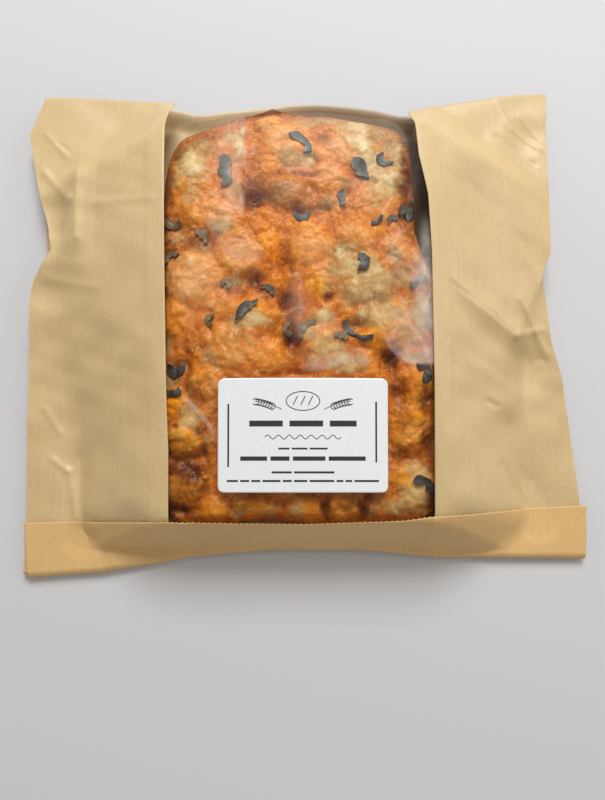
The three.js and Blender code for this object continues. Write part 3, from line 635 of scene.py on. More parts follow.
# Finger dimples: centre, reach across and along, and depth.
DIMPLES = [
    (-21, 55, 7, 5, 4), (-20, 14, 7, 5, 4), (-6, 4, 4, 5, 4.5), (14, 6, 4, 3, 3.5), (-3, -14, 4, 9, 4),
    (-8, 26, 4, 14, 3), (0, 48, 8, 4, 2.6), (43, -25, 5, 8, 4.5), (27, -8, 10, 4, 3),
    (-13, -12, 4, 5, 2.6), (52, 48, 5, 5, 3), (-41, 34, 4, 8, 1.8), (-56, 40, 6, 5, 2.2),
    (23, 60, 4, 4, 1.6), (12, 49, 9, 3, 1.6), (-58, -29, 5, 9, 2.4), (-47, -68, 8, 3, 2.4),
    (-52, -92, 8, 4, 3), (-30, -92, 4, 4, 1.8), (12, -90, 2.5, 6, 2.2), (30, -91, 2.5, 6, 2),
    (45, -38, 5, 6, 2.6), (47, -69, 7, 3, 2.4), (-20, 64, 5, 3, 1.4), (60, -64, 5, 9, 2.4),
    (-2, -30, 9, 3, 2), (-28, 8, 7, 3, 1.8), (5, 67, 12, 2, 1.2), (-52, -24, 4, 8, 2)
]
# Patches of the crust: centre, reach across and along, and strength. First bare dough.
BARE_DOUGH = [
    (-51, 75, 9, 12, 0.8), (-59, 68, 4, 9, 0.5), (-47, 84, 6, 6, 0.6), (-34, 88, 5, 6, 0.7),
    (-29, 85, 2.5, 10, 1), (-8, 58, 8, 8, 0.35), (-4, 77, 6, 5, 0.5), (5, 77, 5, 4, 0.8),
    (4, 97, 6, 4, 0.5), (14, 98, 10, 4, 0.7), (28, 94, 10, 5, 0.85), (31, 85, 9, 7, 0.9),
    (41, 91, 10, 5, 0.6), (47, 81, 6, 9, 0.75), (35, 75, 7, 6, 1), (43, 64, 8, 8, 0.85),
    (47, 71, 6, 8, 0.7), (36, 68, 5, 5, 0.7), (25, 63, 5, 4, 0.5), (14, 53, 6, 4, 0.45),
    (38, 51, 6, 4, 0.3), (-51, 58, 6, 5, 0.4), (-37, 41, 5, 5, 0.8), (-45, 31, 5, 5, 0.4),
    (-58, 37, 6, 5, 0.4), (-29, 13, 3, 3, 0.7), (-32, 61, 5, 6, 0.35), (22, 28, 6, 5, 0.9),
    (28, 20, 13, 9, 0.75), (36, 12, 12, 10, 0.7), (27, 8, 9, 8, 0.65), (40, 0, 12, 8, 0.6),
    (33, -4, 9, 6, 0.6), (46, 27, 4, 6, 0.6), (15, 12, 4, 8, 0.4), (-20, -5, 8, 5, 0.9),
    (-27, -6, 4, 5, 0.5), (12, -4, 6, 4, 0.8), (14, -18, 10, 4, 0.6), (22, -25, 11, 4, 0.75),
    (8, -24, 6, 4, 0.4), (5, -12, 3, 4, 0.5), (-42, -22, 3, 5, 0.6), (-38, -26, 4, 3, 0.4),
    (-61, -17, 4, 5, 0.6), (-59, -33, 5, 6, 0.6), (-50, -49, 5, 7, 0.75), (-54, -58, 6, 4, 0.3),
    (50, -11, 8, 8, 0.5), (58, 1, 6, 12, 0.7), (50, 16, 5, 6, 0.6), (55, -23, 6, 4, 0.5),
    (54, -85, 9, 8, 0.85), (47, -91, 8, 3, 0.8), (55, -74, 6, 6, 0.6), (-28, -93, 4, 3, 0.8),
    (-13, -93, 4, 4, 0.6), (-1, -91, 5, 4, 0.75), (33, -93, 5, 3, 0.5), (-41, -60, 4, 5, 0.4)
]
# Toasted patches, partly painted shade: they also darken the dimples and the corners at the mouth end.
BROWNED = [
    (-64, 63, 3, 20, 0.6), (-58, 79, 5, 5, 0.65), (-47, 90, 10, 3, 0.4), (-31, 101, 12, 3, 0.3),
    (-12, 105, 9, 3, 0.8), (-5, 98, 4, 6, 0.3), (-20, 76, 5, 12, 0.35), (-21, 61, 7, 6, 0.75),
    (-22, 55, 8, 6, 0.75), (-14, 58, 7, 6, 0.6), (-7, 60, 7, 6, 0.6), (-7, 53, 8, 4, 0.5),
    (0, 59, 7, 6, 0.4), (-5, 69, 10, 2, 0.35), (12, 87, 5, 5, 0.4), (36, 89, 4, 6, 0.4),
    (43, 88, 4, 4, 0.25), (52, 88, 3, 8, 0.6), (54, 69, 4, 14, 0.9), (49, 62, 3, 10, 0.35),
    (53, 52, 4, 8, 0.9), (1, 50, 5, 4, 0.6), (8, 51, 6, 4, 0.35), (-57, 48, 8, 3, 0.3),
    (-63, 42, 4, 6, 0.6), (-61, 29, 5, 5, 0.7), (-51, 33, 6, 6, 0.45), (-43, 35, 5, 5, 0.4),
    (-20, 14, 5, 5, 0.6), (-26, 18, 6, 4, 0.35), (-12, 9, 4, 3, 0.6), (-6, 3, 3.5, 5, 0.7),
    (-2, 0, 4, 10, 0.65), (-4, 22, 2, 14, 0.55), (-3, -12, 5, 9, 0.8), (-1, -20, 6, 6, 0.5),
    (-9, -8, 3, 8, 0.4), (-61, 13, 4, 16, 0.2), (-59, -7, 4, 10, 0.2), (-47, -16, 8, 3, 0.3),
    (-28, -13, 8, 2.5, 0.4), (-54, -26, 6, 8, 0.45), (-47, -36, 5, 6, 0.6), (-50, -30, 4, 8, 0.4),
    (14, 5, 4, 3, 0.8), (38, 8, 5, 5, 0.45), (29, 23, 5, 4, 0.3), (43, -22, 5, 7, 0.9),
    (37, -17, 4, 6, 0.4), (24, -31, 14, 2, 0.4), (48, 21, 5, 8, 0.25), (53, 41, 4, 9, 0.5),
    (63, -4, 3, 6, 0.6), (-55, -55, 1.5, 1.5, 0.9), (-46, -56, 2.5, 2.5, 0.9),
    (-44, -64, 2.5, 2.5, 0.9), (-56, -66, 8, 5, 0.65), (-51, -74, 11, 7, 1), (-54, -84, 9, 5, 0.75),
    (-52, -61, 6, 4, 0.55), (-57, -79, 8, 4, 0.4), (-47, -82, 10, 4, 0.7), (-59, -91, 6, 5, 1),
    (-52, -92, 8, 4, 0.85), (-43, -90, 6, 4, 0.4), (-23, -88, 7, 5, 0.7), (-10, -88, 8, 3, 0.4),
    (5, -87, 10, 3, 0.4), (13, -90, 4, 6, 0.8), (23, -90, 9, 5, 0.8), (28, -93, 5, 4, 0.8),
    (35, -87, 8, 5, 0.8), (46, -36, 6, 5, 0.5), (58, -41, 6, 7, 0.7), (47, -50, 5, 8, 0.6),
    (51, -64, 9, 4, 0.35), (46, -72, 4, 10, 0.35), (61, -62, 4, 14, 0.6), (63, -88, 5, 10, 0.85),
    (46, -84, 4, 5, 0.4), (36, 54, 6, 4, 0.25), (51, -52, 8, 12, 0.25), (52, 62, 4, 10, 0.9)
]
# Cheese that is deep golden.
GOLDEN = [
    (-20, 80, 6, 12, 0.7), (-16, 72, 8, 8, 0.5), (-10, 96, 12, 6, 0.3), (-20, 47, 8, 5, 0.8),
    (-5, 44, 14, 5, 0.9), (14, 46, 12, 4, 0.6), (-14, 34, 7, 8, 1), (-8, 26, 8, 12, 1),
    (-9, 14, 6, 6, 1), (6, 38, 10, 6, 0.5), (8, 12, 7, 5, 0.9), (11, 7, 5, 4, 0.9), (-18, 5, 9, 4, 0.7),
    (-11, -2, 5, 8, 0.8), (-8, -14, 5, 12, 0.7), (-14, -22, 9, 6, 0.4), (22, -4, 6, 4, 0.8),
    (30, -10, 8, 4, 0.9), (36, -22, 8, 9, 1), (32, -30, 12, 2, 0.7), (10, -30, 8, 2, 0.4),
    (-49, -26, 7, 10, 0.7), (-57, -44, 7, 9, 1), (-53, -60, 8, 6, 0.8), (-63, 11, 3, 20, 0.4),
    (-59, -4, 6, 14, 0.4), (-47, -76, 14, 8, 0.7), (-52, -88, 12, 8, 0.7), (-57, -66, 8, 8, 0.7),
    (-41, -92, 10, 4, 0.7), (0, -90, 40, 6, 0.6), (51, -49, 12, 18, 0.7), (53, -66, 10, 8, 0.6),
    (47, -78, 6, 8, 0.7), (54, -86, 8, 8, 0.6), (61, -39, 5, 12, 0.6), (42, 41, 10, 4, 0.5),
    (-51, 45, 8, 5, 0.3), (-57, 60, 4, 14, 0.3)
]
# Cheese that is pale on the mounds, partly its own colour and partly a painted highlight.
PALE = [
    (-50, 15, 13, 12, 0.9), (-45, 1, 8, 8, 0.4), (18, 83, 8, 6, 0.8), (38, 55, 8, 6, 0.8),
    (-34, 53, 8, 10, 0.7), (-25, 26, 8, 8, 0.5), (5, 30, 8, 10, 0.5), (46, 31, 6, 8, 0.8),
    (-20, -20, 12, 6, 0.4), (53, -56, 6, 6, 0.5), (-10, 89, 10, 8, 0.3), (14, 24, 6, 12, 0.5),
    (-45, 51, 8, 8, 0.4), (10, 67, 10, 6, 0.4)
]


def loaf_half_width(side, y):
    right = mix(LOAF_HALF_WIDTH_RIGHT, LOAF_HALF_WIDTH_FAR_RIGHT, ease(5, 45, y))
    return np.where(side < 0, LOAF_HALF_WIDTH_LEFT, right)


def on_loaf_plan(u, v, share):
    """Where (u, v) of a square from -1 to 1 lies in the loaf's outline, scaled by share."""
    squareness = mix(9, 8, ease(-0.3, 0.3, v))
    reach = np.maximum(np.abs(u), np.abs(v))
    norm = (np.abs(u) ** squareness + np.abs(v) ** squareness) ** (1 / squareness)
    turn = np.arctan2(v, u)
    lobes = 0.99 + 0.008 * np.sin(5 * turn + 0.7) + 0.007 * np.sin(9 * turn + 2)
    k = reach * share * lobes / np.maximum(norm, 1e-6)
    length = mix(LOAF_TO_MOUTH, along(LOAF_TO_GLUED_END, u), ease(-0.2, 0.4, v))
    y = v * k * length + LOAF_CENTRE_Y
    return u * k * loaf_half_width(u, y), y


def spread(spots, x, y, wobble):
    """How far each point lies within the nearest patch, from 0 outside to 1 at its middle."""
    inside = np.zeros_like(x)
    for cx, cy, reach_x, reach_y, strength in spots:
        r = np.hypot((x - cx) / reach_x, (y - cy) / reach_y) + wobble
        inside = np.maximum(inside, ease(1.5, 0.25, r) * strength)
    return inside


def swells(x, y, scale, octaves, seed):
    """Soft hills and hollows about zero."""
    values = [noise.fractal(Vector((a / scale, b / scale, seed)), 0.8, 2.1, octaves)
              for a, b in zip(x.flat, y.flat)]
    return np.array(values).reshape(x.shape)


def curds(x, y, scale, octaves, seed):
    """Round lumps with sharp clefts between them, about zero."""
    values = [noise.turbulence(Vector((a / scale, b / scale, seed)), octaves, True)
              for a, b in zip(x.flat, y.flat)]
    lumps = np.array(values).reshape(x.shape)
    return (lumps - lumps.mean()) / lumps.std()


u, v = np.meshgrid(np.linspace(-1, 1, 196), np.linspace(-1, 1, 290))
u, v = np.sign(u) * np.abs(u) ** 0.9, np.sign(v) * np.abs(v) ** 0.9
x, y = on_loaf_plan(u, v, 1)
bend = 3 * swells(x, y, 16, 2, 9.2)
warp_x = x + 2.6 * swells(x, y, 7, 3, 5.5)
warp_y = y + 2.6 * swells(x, y, 7, 3, 12.5)
wobble = 0.35 * swells(x, y, 4, 3, 3.1)
bare, browned, golden, pale = (spread(spots, warp_x, warp_y, wobble)
                               for spots in (BARE_DOUGH, BROWNED, GOLDEN, PALE))
hollow = np.zeros_like(x)
for cx, cy, reach_x, reach_y, depth in DIMPLES:
    r = np.hypot((x - cx + bend * 0.4) / reach_x, (y - cy - bend * 0.3) / reach_y)
    hollow = hollow + depth * np.exp(-1.6 * r * r)
puff = np.zeros_like(x)
for cx, cy, radius, rise in PUFFS:
    r = np.hypot(x - cx + bend * 0.6, y - cy - bend * 0.5) / radius
    puff = np.maximum(puff, rise * np.maximum(0, 1 - r ** 2.6))
lumps = curds(x - bend, y + bend, 7, 2, 2.4)
lace = curds(x + 0.6 * bend, y, 2.0, 3, 1.9)
rough = np.clip(0.75 + 0.9 * swells(x, y, 11, 2, 21.5), 0.25, 1.5)
relief = 0.34 * lumps * (1 - 0.5 * bare) + 0.12 * rough * lace * (1 - 0.7 * bare)
z = np.minimum(crown(x, y), drape(x, y)) - LOAF_UNDER_DRAPE + puff - hollow + relief
over = np.clip((np.maximum(np.abs(u), np.abs(v)) - LOAF_SHOULDER) / (1 - LOAF_SHOULDER), 0, 1)
z = LOAF_WIDEST_AT + (z - LOAF_WIDEST_AT) * np.sqrt(1 - 0.98 * over ** 2)
z = soft_min(z, drape(x, y) - 1.1, 1.5)
browned = np.maximum(browned, mix(0.3, 0.7, ease(40, 80, y)) * over ** 1.5 * (1 - 0.5 * bare))
# Colour height: low in the dimples and high on the puffs, so the crust's colour ramps paint the hollows
# darker and the mounds lighter, a painted shade and light over the cheese's own mottling.
height = np.clip(0.4 + 0.1 * puff + 0.05 * lumps + 0.04 * lace - 0.06 * hollow, 0, 1)

bm = bmesh.new()
lay_grid(bm, np.stack((x, y, z), axis=-1), u=u, v=v, bare=bare, browned=browned,
         golden=golden, pale=pale, height=height)
layer = bm.verts.layers.float
LOAF_SIDE = [(1.004, 17.5), (1.004, 14), (1, 10), (0.994, 6.5), (0.985, 4), (0.975, 2.5),
             (LOAF_BASE_SHARE, LOAF_FLOOR + 0.6), (LOAF_BASE_SHARE - 0.02, LOAF_FLOOR),
             (0.6, LOAF_FLOOR), (0.2, LOAF_FLOOR)]
for share, level in LOAF_SIDE:
    rim = [edge for edge in bm.edges if edge.is_boundary]
    made = bmesh.ops.extrude_edge_only(bm, edges=rim)["geom"]
    for vert in (part for part in made if isinstance(part, bmesh.types.BMVert)):
        side_x, side_y = on_loaf_plan(vert[layer["u"]], vert[layer["v"]], share)
        rough = 0.5 * noise.fractal(Vector((side_x / 5, side_y / 5, level / 5)), 0.8, 2, 3)
        place = np.array((side_x, side_y, level))
        if level > LOAF_FLOOR + 0.7:
            place[:2] *= 1 + 0.012 * rough
        vert.co = (place + CENTRING) * MM
        bare = 0.55 if side_x > 22 and side_y > 60 else 0
        for name, value in (("bare", bare), ("browned", 0.75 + 0.4 * rough), ("golden", 0.3),
                            ("pale", 0), ("height", 0.45 + 0.3 * rough)):
            vert[layer[name]] = value
bmesh.ops.holes_fill(bm, edges=[edge for edge in bm.edges if edge.is_boundary])
bmesh.ops.recalc_face_normals(bm, faces=bm.faces)


def ragged(tree, mask, noise_value, reach):
    """A painted mask whose outline is broken up by a noise."""
    mask = maths(tree, "ADD", attribute(tree, mask), maths(tree, "MULTIPLY", noise_value, reach))
    return maths(tree, "SUBTRACT", mask, reach / 2, clamp=True)


crust, tree, shader = new_material("melted cheese crust")
where = object_coordinates(tree)
broad = noise_node(tree, where, 60, 4, 0.6, 0.6)
mottle = noise_node(tree, where, 190, 4, 0.65, 0.8)
fine = noise_node(tree, where, 480, 4, 0.65, 0.4)
specks = noise_node(tree, where, 900, 3, 0.6)
# Painted shade and light: the colour height darkens hollows and lightens mounds, and the noises add the
# cheese's own mottling.
level = maths(tree, "ADD", attribute(tree, "height"), maths(tree, "MULTIPLY", mottle, 0.5))
level = maths(tree, "ADD", level, maths(tree, "MULTIPLY", fine, 0.4))
level = maths(tree, "SUBTRACT", level, 0.45, clamp=True)
cheese = ramp(tree, level, (0.1, (158, 73, 16)), (0.4, (196, 111, 36)), (0.62, (212, 137, 56)),
              (0.9, (229, 180, 106)))
deep_cheese = ramp(tree, level, (0.1, (136, 62, 0)), (0.4, (208, 114, 0)), (0.62, (238, 150, 2)),
                   (0.9, (250, 192, 34)))
pale_cheese = ramp(tree, level, (0.1, (192, 108, 52)), (0.5, (218, 147, 81)), (0.9, (232, 186, 131)))
cheese = blend(tree, ragged(tree, "golden", broad, 0.7), cheese, deep_cheese)
# Painted highlight: the pale patches on the mounds turn the cheese peach.
cheese = blend(tree, attribute(tree, "pale"), cheese, pale_cheese)
tan_dough = ramp(tree, level, (0.1, (131, 85, 35)), (0.4, (171, 127, 72)), (0.62, (188, 147, 90)),
                 (0.9, (208, 177, 123)))
cream_dough = ramp(tree, level, (0.1, (168, 128, 70)), (0.4, (204, 172, 114)), (0.62, (216, 190, 134)),
                   (0.9, (228, 210, 162)))
edge = ragged(tree, "bare", mottle, 0.5)
skin = blend(tree, ramp(tree, edge, (0.12, 0.0), (0.5, 1.0)), cheese, tan_dough)
skin = blend(tree, ramp(tree, edge, (0.5, 0.0), (0.95, 1.0)), skin, cream_dough)
skin = blend(tree, maths(tree, "MULTIPLY", attribute(tree, "golden"), 0.45), skin, deep_cheese)
# Painted shade: this dark colour also fills the dimples and the corners at the mouth end.
toasted = ramp(tree, level, (0.1, (50, 15, 2)), (0.45, (86, 33, 3)), (0.7, (122, 54, 6)),
               (0.95, (164, 92, 26)))
skin = blend(tree, ragged(tree, "browned", mottle, 0.5), skin, toasted)
# Painted highlights: bright glints on cheese drawn out in strands and along fine wrinkles, fewer on the
# toasted and shaded patches.
fresh = ramp(tree, attribute(tree, "browned"), (0.0, 1.0), (0.8, 0.4))
strands = noise_node(tree, where, 420, 2, 0.5, 0.9, "RIDGED_MULTIFRACTAL")
oily = ramp(tree, strands, (0.5, 0.0), (0.95, 1.0))
glint = blend(tree, attribute(tree, "golden"), paint((250, 200, 132)), paint((252, 180, 34)))
cream = maths(tree, "MULTIPLY", oily, ramp(tree, broad, (0.35, 0.06), (0.65, 0.4)))
skin = blend(tree, maths(tree, "MULTIPLY", cream, fresh), skin, glint)
curls = noise_node(tree, where, 330, 2, 0.5, 1.6)
wrinkle = ramp(tree, curls, (0.455, 0.0), (0.5, 1.0), (0.545, 0.0))
wet = maths(tree, "MULTIPLY", wrinkle, ramp(tree, mottle, (0.48, 0.0), (0.62, 0.6)))
wet = maths(tree, "MULTIPLY", wet, fresh)
bright = blend(tree, attribute(tree, "golden"), paint((254, 212, 150)), paint((255, 208, 90)))
skin = blend(tree, wet, skin, bright)
feed(tree, skin, shader.inputs["Base Color"])
feed(tree, ramp(tree, specks, (0.3, 0.6), (0.7, 0.34)), shader.inputs["Roughness"])
shader.inputs["Specular IOR Level"].default_value = 0.13
shader.inputs["Subsurface Weight"].default_value = 0.03
shader.inputs["Subsurface Radius"].default_value = (0.004, 0.002, 0.001)
shader.inputs["Subsurface Scale"].default_value = 0.5
shader.inputs["Coat Weight"].default_value = 0.1
shader.inputs["Coat Roughness"].default_value = 0.16
soft = bump(tree, oily, 0.35, 0.7, bump(tree, fine, 0.5, 0.4))
feed(tree, bump(tree, wet, 0.3, 0.7, soft), shader.inputs["Normal"])
loaf = finish_piece("cheese_focaccia", bm, crust, "focaccia")

# Jalapeno slices. Thin rings and strips cut from pickled green chillies. They roasted dark on
# the crust, shrank and curled up a little, so each lies bent over the crags below it.
# Each slice is its middle, its ring's radius, its width, the way it bulges and its arc in degrees.
SLICES = [
    (-35.8, 70.2, 14, 6.2, 185, 62), (3.0, 85.5, 6.4, 4, 45, 125), (29.9, 71.5, 8, 6, 31, 72),
    (40.5, 74.4, 2.3, 4, 225, 240), (20.4, 55.3, 6, 3.4, 170, 85), (56.7, 14.2, 10, 4.2, 306, 52),
    (1.9, 45.1, 2.3, 4.4, 270, 220), (53, 50.6, 2.2, 4, 60, 280), (-32.7, 13.2, 1.6, 2.2, 60, 270),
    (-24.7, 0.9, 9, 4.2, 131, 84), (37.7, 43.2, 6, 2.4, 305, 62), (45.0, 45.6, 5, 2.6, 105, 62),
    (31.3, 22.8, 2.6, 4.4, 10, 210), (-42.0, -4.8, 1.8, 2.6, 170, 220),
    (-56.1, -29.1, 2.6, 4.2, 270, 230), (-57, -39.6, 4.2, 3.4, 280, 120),
    (-5.9, -9.9, 1.8, 2.8, 200, 230), (-13.8, 10.0, 8, 3, 55, 56), (2.4, -8.5, 6.6, 3.6, 138, 112),
    (19.7, -12.3, 6, 4, 70, 64), (26.4, -12.2, 13, 2.8, 236, 76), (60, -28.5, 3, 4.6, 20, 230),
    (58.4, -79, 4, 4.4, 60, 165), (-61, 42.6, 3.2, 3.2, 250, 170), (-61, 27.6, 3.4, 3.2, 120, 160),
    (-45.4, 36.7, 8, 3.4, 40, 58)
]
# The slices, counted from 1, that stayed pale and translucent.
FADED = {9, 14, 17, 19, 20, 24, 25, 26}
SLICE_THICKNESS = 1.5
SLICE_SIDES = 8
SLICE_STEPS = 9
crust_points = np.stack((x.ravel(), y.ravel()), axis=-1)
crust_heights = z.ravel()


def crust_at(px, py):
    """Height of the crust's point that is nearest to px and py."""
    return crust_heights[np.argmin(np.sum((crust_points - (px, py)) ** 2, axis=-1))]


bm = bmesh.new()
tint = bm.verts.layers.float.new("tint")
inner = bm.verts.layers.float.new("inner")
faded = bm.verts.layers.float.new("faded")
for number, (mid_x, mid_y, radius, width, facing, sweep) in enumerate(SLICES):
    way, turn = radians(facing), radians(sweep)
    centre = Vector((mid_x - radius * cos(way), mid_y - radius * sin(way), 0))
    start = way - turn / 2
    profile = []
    for k in range(SLICE_SIDES):
        a = 2 * pi * (k + 0.5) / SLICE_SIDES
        reach = radius + width / 2 * np.sign(cos(a)) * abs(cos(a)) ** 0.6
        level = SLICE_THICKNESS / 2 * np.sign(sin(a)) * abs(sin(a)) ** 0.5
        place = (centre.x + reach * cos(start), centre.y + reach * sin(start), level)
        profile.append(bm.verts.new(place))
    loop = [bm.edges.new((profile[k - 1], profile[k])) for k in range(SLICE_SIDES)]
    before = set(bm.verts)
    bmesh.ops.spin(bm, geom=profile + loop, cent=centre, axis=(0, 0, 1), angle=turn,
                   steps=SLICE_STEPS, use_merge=False, use_duplicate=False)
    strip = profile + [vert for vert in bm.verts if vert not in before]
    bmesh.ops.holes_fill(bm, edges=[edge for edge in bm.edges if edge.is_boundary])
    for vert in strip:
        offset = Vector((vert.co.x, vert.co.y, 0)) - centre
        angle = (atan2(offset.y, offset.x) - way + pi) % (2 * pi) - pi
        share = angle / turn + 0.5
        taper = 0.75 + 0.25 * sin(pi * min(max(share, 0.1), 0.9))
        side = (offset.length - radius) / (width / 2)
        taper *= 1 + 0.9 * noise.noise(Vector((4.3 * share, number * 2.3 + 1.1 * side, 0)))
        skew = 0.5 * noise.noise(Vector((number * 1.7, 9 * round(share), 4)))
        to_tip = abs(2 * share - 1) ** 2
        offset.rotate(Matrix.Rotation(skew * side * width / radius * to_tip, 3, "Z"))
        wobble = 1 + 0.14 * noise.noise(Vector((vert.co.x / 4, vert.co.y / 4, number * 3.7)))
        offset = offset.normalized() * (radius + side * width / 2 * taper) * wobble
        spot = centre + offset
        ring_mid = centre + offset.normalized() * radius
        ground = 0.5 * crust_at(spot.x, spot.y) + 0.5 * crust_at(ring_mid.x, ring_mid.y)
        height = ground + SLICE_THICKNESS * 0.35 + vert.co.z * taper + 0.5 * to_tip
        height = min(height, drape(spot.x, spot.y) - 0.75)
        vert.co = (spot.x, spot.y, height)
        vert[tint] = min(max(0.5 - mid_y / 90 + 0.3 * ((number * 0.37) % 1 - 0.5), 0), 1)
        vert[inner] = 0.5 - 0.5 * side
        vert[faded] = 1 if number + 1 in FADED else 0
for vert in bm.verts:
    vert.co = (np.array(vert.co) + CENTRING) * MM
bmesh.ops.recalc_face_normals(bm, faces=bm.faces)
chilli, tree, shader = new_material("roasted green chilli")
where = object_coordinates(tree)
mottle = noise_node(tree, where, 400, 3, 0.6)
flesh = ramp(tree, attribute(tree, "inner"), (0.1, (46, 49, 46)), (0.6, (86, 89, 84)),
             (0.95, (146, 140, 116)))
# Slices nearer the mouth are blended further toward dark brown, with some spread from slice to slice.
roast = ramp(tree, attribute(tree, "tint"), (0.1, 0.05), (0.9, 0.85))
flesh = blend(tree, roast, flesh, paint((38, 22, 8)))
pale = maths(tree, "MULTIPLY", attribute(tree, "faded"), 0.6)
flesh = blend(tree, pale, flesh, paint((158, 126, 82)))
flesh = blend(tree, 0.35, flesh, ramp(tree, mottle, (0.35, (26, 24, 24)), (0.65, (112, 112, 106))))
feed(tree, flesh, shader.inputs["Base Color"])
shader.inputs["Roughness"].default_value = 0.5
shader.inputs["Specular IOR Level"].default_value = 0.3
feed(tree, bump(tree, mottle, 0.3, 0.6), shader.inputs["Normal"])
slices = finish_piece("jalapeno_slices", bm, chilli,
                      *[f"jalapeno_{number:02d}" for number in range(1, len(SLICES) + 1)], sharp=42)

# Label. A white paper sticker with rounded corners, 3 by 2 inches, pressed onto the film, so
# it takes up the film's slope and is smooth where the film has wrinkles.
LABEL_CORNER = 3
LABEL_THICKNESS = 0.12
LABEL_OVER_DRAPE = FILM_UNDER + 0.14


def on_label(across, up, raised=0.0):
    return over_drape(LABEL_CENTRE[0] + across, LABEL_CENTRE[1] + up, LABEL_OVER_DRAPE + raised)


def rounded(across, up):
    """Pulls the points of a rectangle in to the label's rounded corners."""
    corner_x, corner_y = LABEL_WIDTH / 2 - LABEL_CORNER, LABEL_LENGTH / 2 - LABEL_CORNER
    over_x = np.maximum(0, np.abs(across) - corner_x)
    over_y = np.maximum(0, np.abs(up) - corner_y)
    pull = LABEL_CORNER / np.maximum(np.hypot(over_x, over_y), LABEL_CORNER)
    inside_x = np.minimum(np.abs(across), corner_x) + over_x * pull
    inside_y = np.minimum(np.abs(up), corner_y) + over_y * pull
    return np.sign(across) * inside_x, np.sign(up) * inside_y


bm = bmesh.new()
across, up = np.meshgrid(np.linspace(-1, 1, 120), np.linspace(-1, 1, 80))
across, up = across * LABEL_WIDTH / 2, up * LABEL_LENGTH / 2
lay_grid(bm, on_label(*rounded(across, up)))
sticker, tree, shader = new_material("white label paper")
fibres, grain = grain_of(tree, object_coordinates(tree), 900, 0.6, 0.016)
white = ramp(tree, fibres, (0.3, (234, 240, 247)), (0.7, (241, 246, 252)))
feed(tree, white, shader.inputs["Base Color"])
shader.inputs["Roughness"].default_value = 0.42
feed(tree, grain, shader.inputs["Normal"])
label = finish_piece("blank_label", bm, sticker, "label")
thicken(label, LABEL_THICKNESS)

# Label print. Thin black ink printed on the sticker before it was cut: a loaf between two ears
# of wheat, and rows of bars where lines would be.
# Each row of bars is its height on the label, its thickness, and each bar's left and right end.
BAR_ROWS = [
    (5.2, 2.6, [(-24, -9), (-6, 9), (12, 24)]),
    (-5.9, 0.8, [(-11, -6), (-5, 2), (3, 11)]),
    (-10.3, 1.9, [(-28, -16), (-14.5, -6), (-4.5, 10), (11.5, 28)]),
    (-16.4, 0.9, [(-14, -5), (-4, 14)]),
    (-20.2, 0.9, [(-34, -29), (-28, -24), (-23, -19), (-18, -10), (-9, -5), (-4, 2), (3, 14),
                  (15, 18), (19, 22), (23, 34)])
]
# The upright bars are each a place across, a low end, a high end and a thickness.
SIDE_BARS = [(-33.4, -14, 14, 0.8), (32.8, -12, 15, 0.8)]
INK_OVER_LABEL = 0.1
bm = bmesh.new()


def draw_bar(left, right, low, high):
    across, up = np.meshgrid(np.linspace(left, right, 12), np.linspace(low, high, 3))
    lay_grid(bm, on_label(across, up, INK_OVER_LABEL))


def draw_line(points, width):
    """A thin printed stroke through the points (across, up) of the label."""
    path = np.array(points, dtype=float)
    way = np.gradient(path, axis=0)
    way /= np.linalg.norm(way, axis=1)[:, None]
    side = np.stack((-way[:, 1], way[:, 0]), axis=-1) * width / 2
    edges = np.stack((path - side, path + side))
    lay_grid(bm, on_label(edges[..., 0], edges[..., 1], INK_OVER_LABEL))


for height, thickness, bars in BAR_ROWS:
    for left, right in bars:
        draw_bar(left, right, height - thickness / 2, height + thickness / 2)
for place, low, high, thickness in SIDE_BARS:
    draw_bar(place - thickness / 2, place + thickness / 2, low, high)
t = np.linspace(0, 1, 60)
draw_line(np.stack((-17 + 34 * t, -0.8 + 0.9 * np.sin(t * 14 * pi)), axis=-1), 0.35)
turn = np.linspace(0, 2 * pi, 48)
draw_line(np.stack((7.5 * np.cos(turn), 15.2 + 4.2 * np.sin(turn)), axis=-1), 0.4)
for place in (-3.4, 0, 3.4):
    draw_line(np.stack((place - 1 + 2 * t, 13.4 + 4 * t), axis=-1), 0.4)
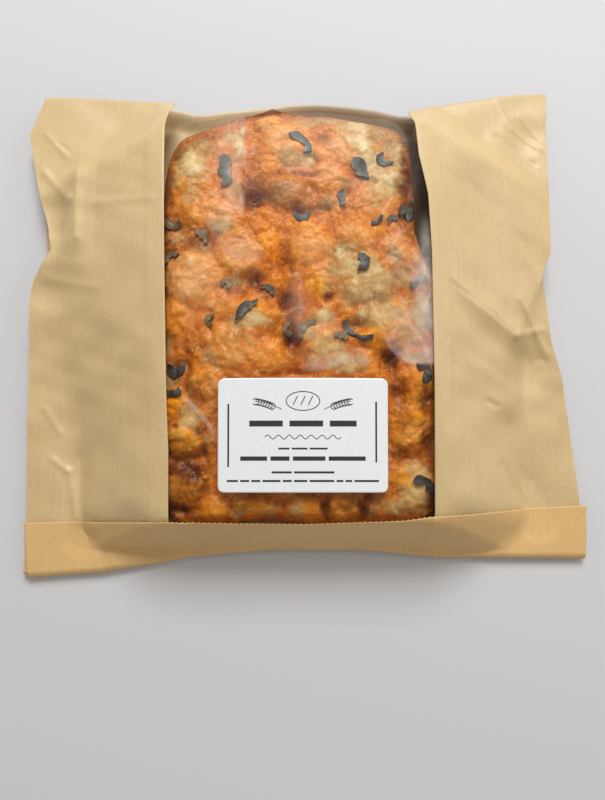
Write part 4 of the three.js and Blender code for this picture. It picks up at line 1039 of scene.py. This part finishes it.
# An ear of wheat on each side of the loaf: a stalk with seven pairs of grains.
kernel = np.linspace(0, 1, 12)
for side in (-1, 1):
    stalk = np.stack((side * (9.5 + 12 * t), 11.5 + 6.5 * t - 3 * t * t), axis=-1)
    draw_line(stalk, 0.3)
    for foot_x, foot_y in stalk[14:51:6]:
        for lean in (-1, 1):
            bulge = lean * (0.35 + 0.78 * np.sin(pi * kernel) + 0.5 * kernel)
            draw_line(np.stack((foot_x + side * 2.6 * kernel, foot_y + bulge), axis=-1), 0.45)
ink, tree, shader = new_material("black label ink")
shader.inputs["Roughness"].default_value = 0.5
tone = noise_node(tree, object_coordinates(tree), 1500, 2)
feed(tree, ramp(tree, tone, (0.3, (40, 40, 44)), (0.7, (58, 58, 62))), shader.inputs["Base Color"])
marks = finish_piece("label_print", bm, ink)

# Studio. A plain pale floor just under the pack, a large soft key light from beyond its glued
# end, a weak one from the right, and a warm pale sky all round.
FLOOR_SIZE = 3
FLOOR_UNDER = -0.0003
bm = bmesh.new()
bmesh.ops.create_grid(bm, x_segments=1, y_segments=1, size=FLOOR_SIZE)
floor_paint, tree, shader = new_material("pale floor")
shader.inputs["Base Color"].default_value = paint((205, 207, 212))
shader.inputs["Roughness"].default_value = 0.8
floor = new_object("floor", bm, floor_paint)
floor.location.z = FLOOR_UNDER


def soft_light(name, place, size, power):
    lamp = bpy.data.objects.new(name, bpy.data.lights.new(name, "AREA"))
    lamp.data.size = size
    lamp.data.energy = power
    lamp.data.color = (1, 1, 0.99)
    lamp.location = place
    lamp.rotation_euler = lamp.location.to_track_quat("Z", "Y").to_euler()
    scene.collection.objects.link(lamp)


soft_light("key", (0.08, 1.02, 0.96), 0.6, 17.6)
soft_light("side", (0.8, 0.2, 0.5), 0.4, 1.2)
sky = bpy.data.worlds.new("sky")
sky.use_nodes = True
sky.node_tree.nodes["Background"].inputs["Color"].default_value = (1, 0.92, 0.82, 1)
sky.node_tree.nodes["Background"].inputs["Strength"].default_value = 0.42
scene.world = sky
scene.view_settings.view_transform = "Standard"
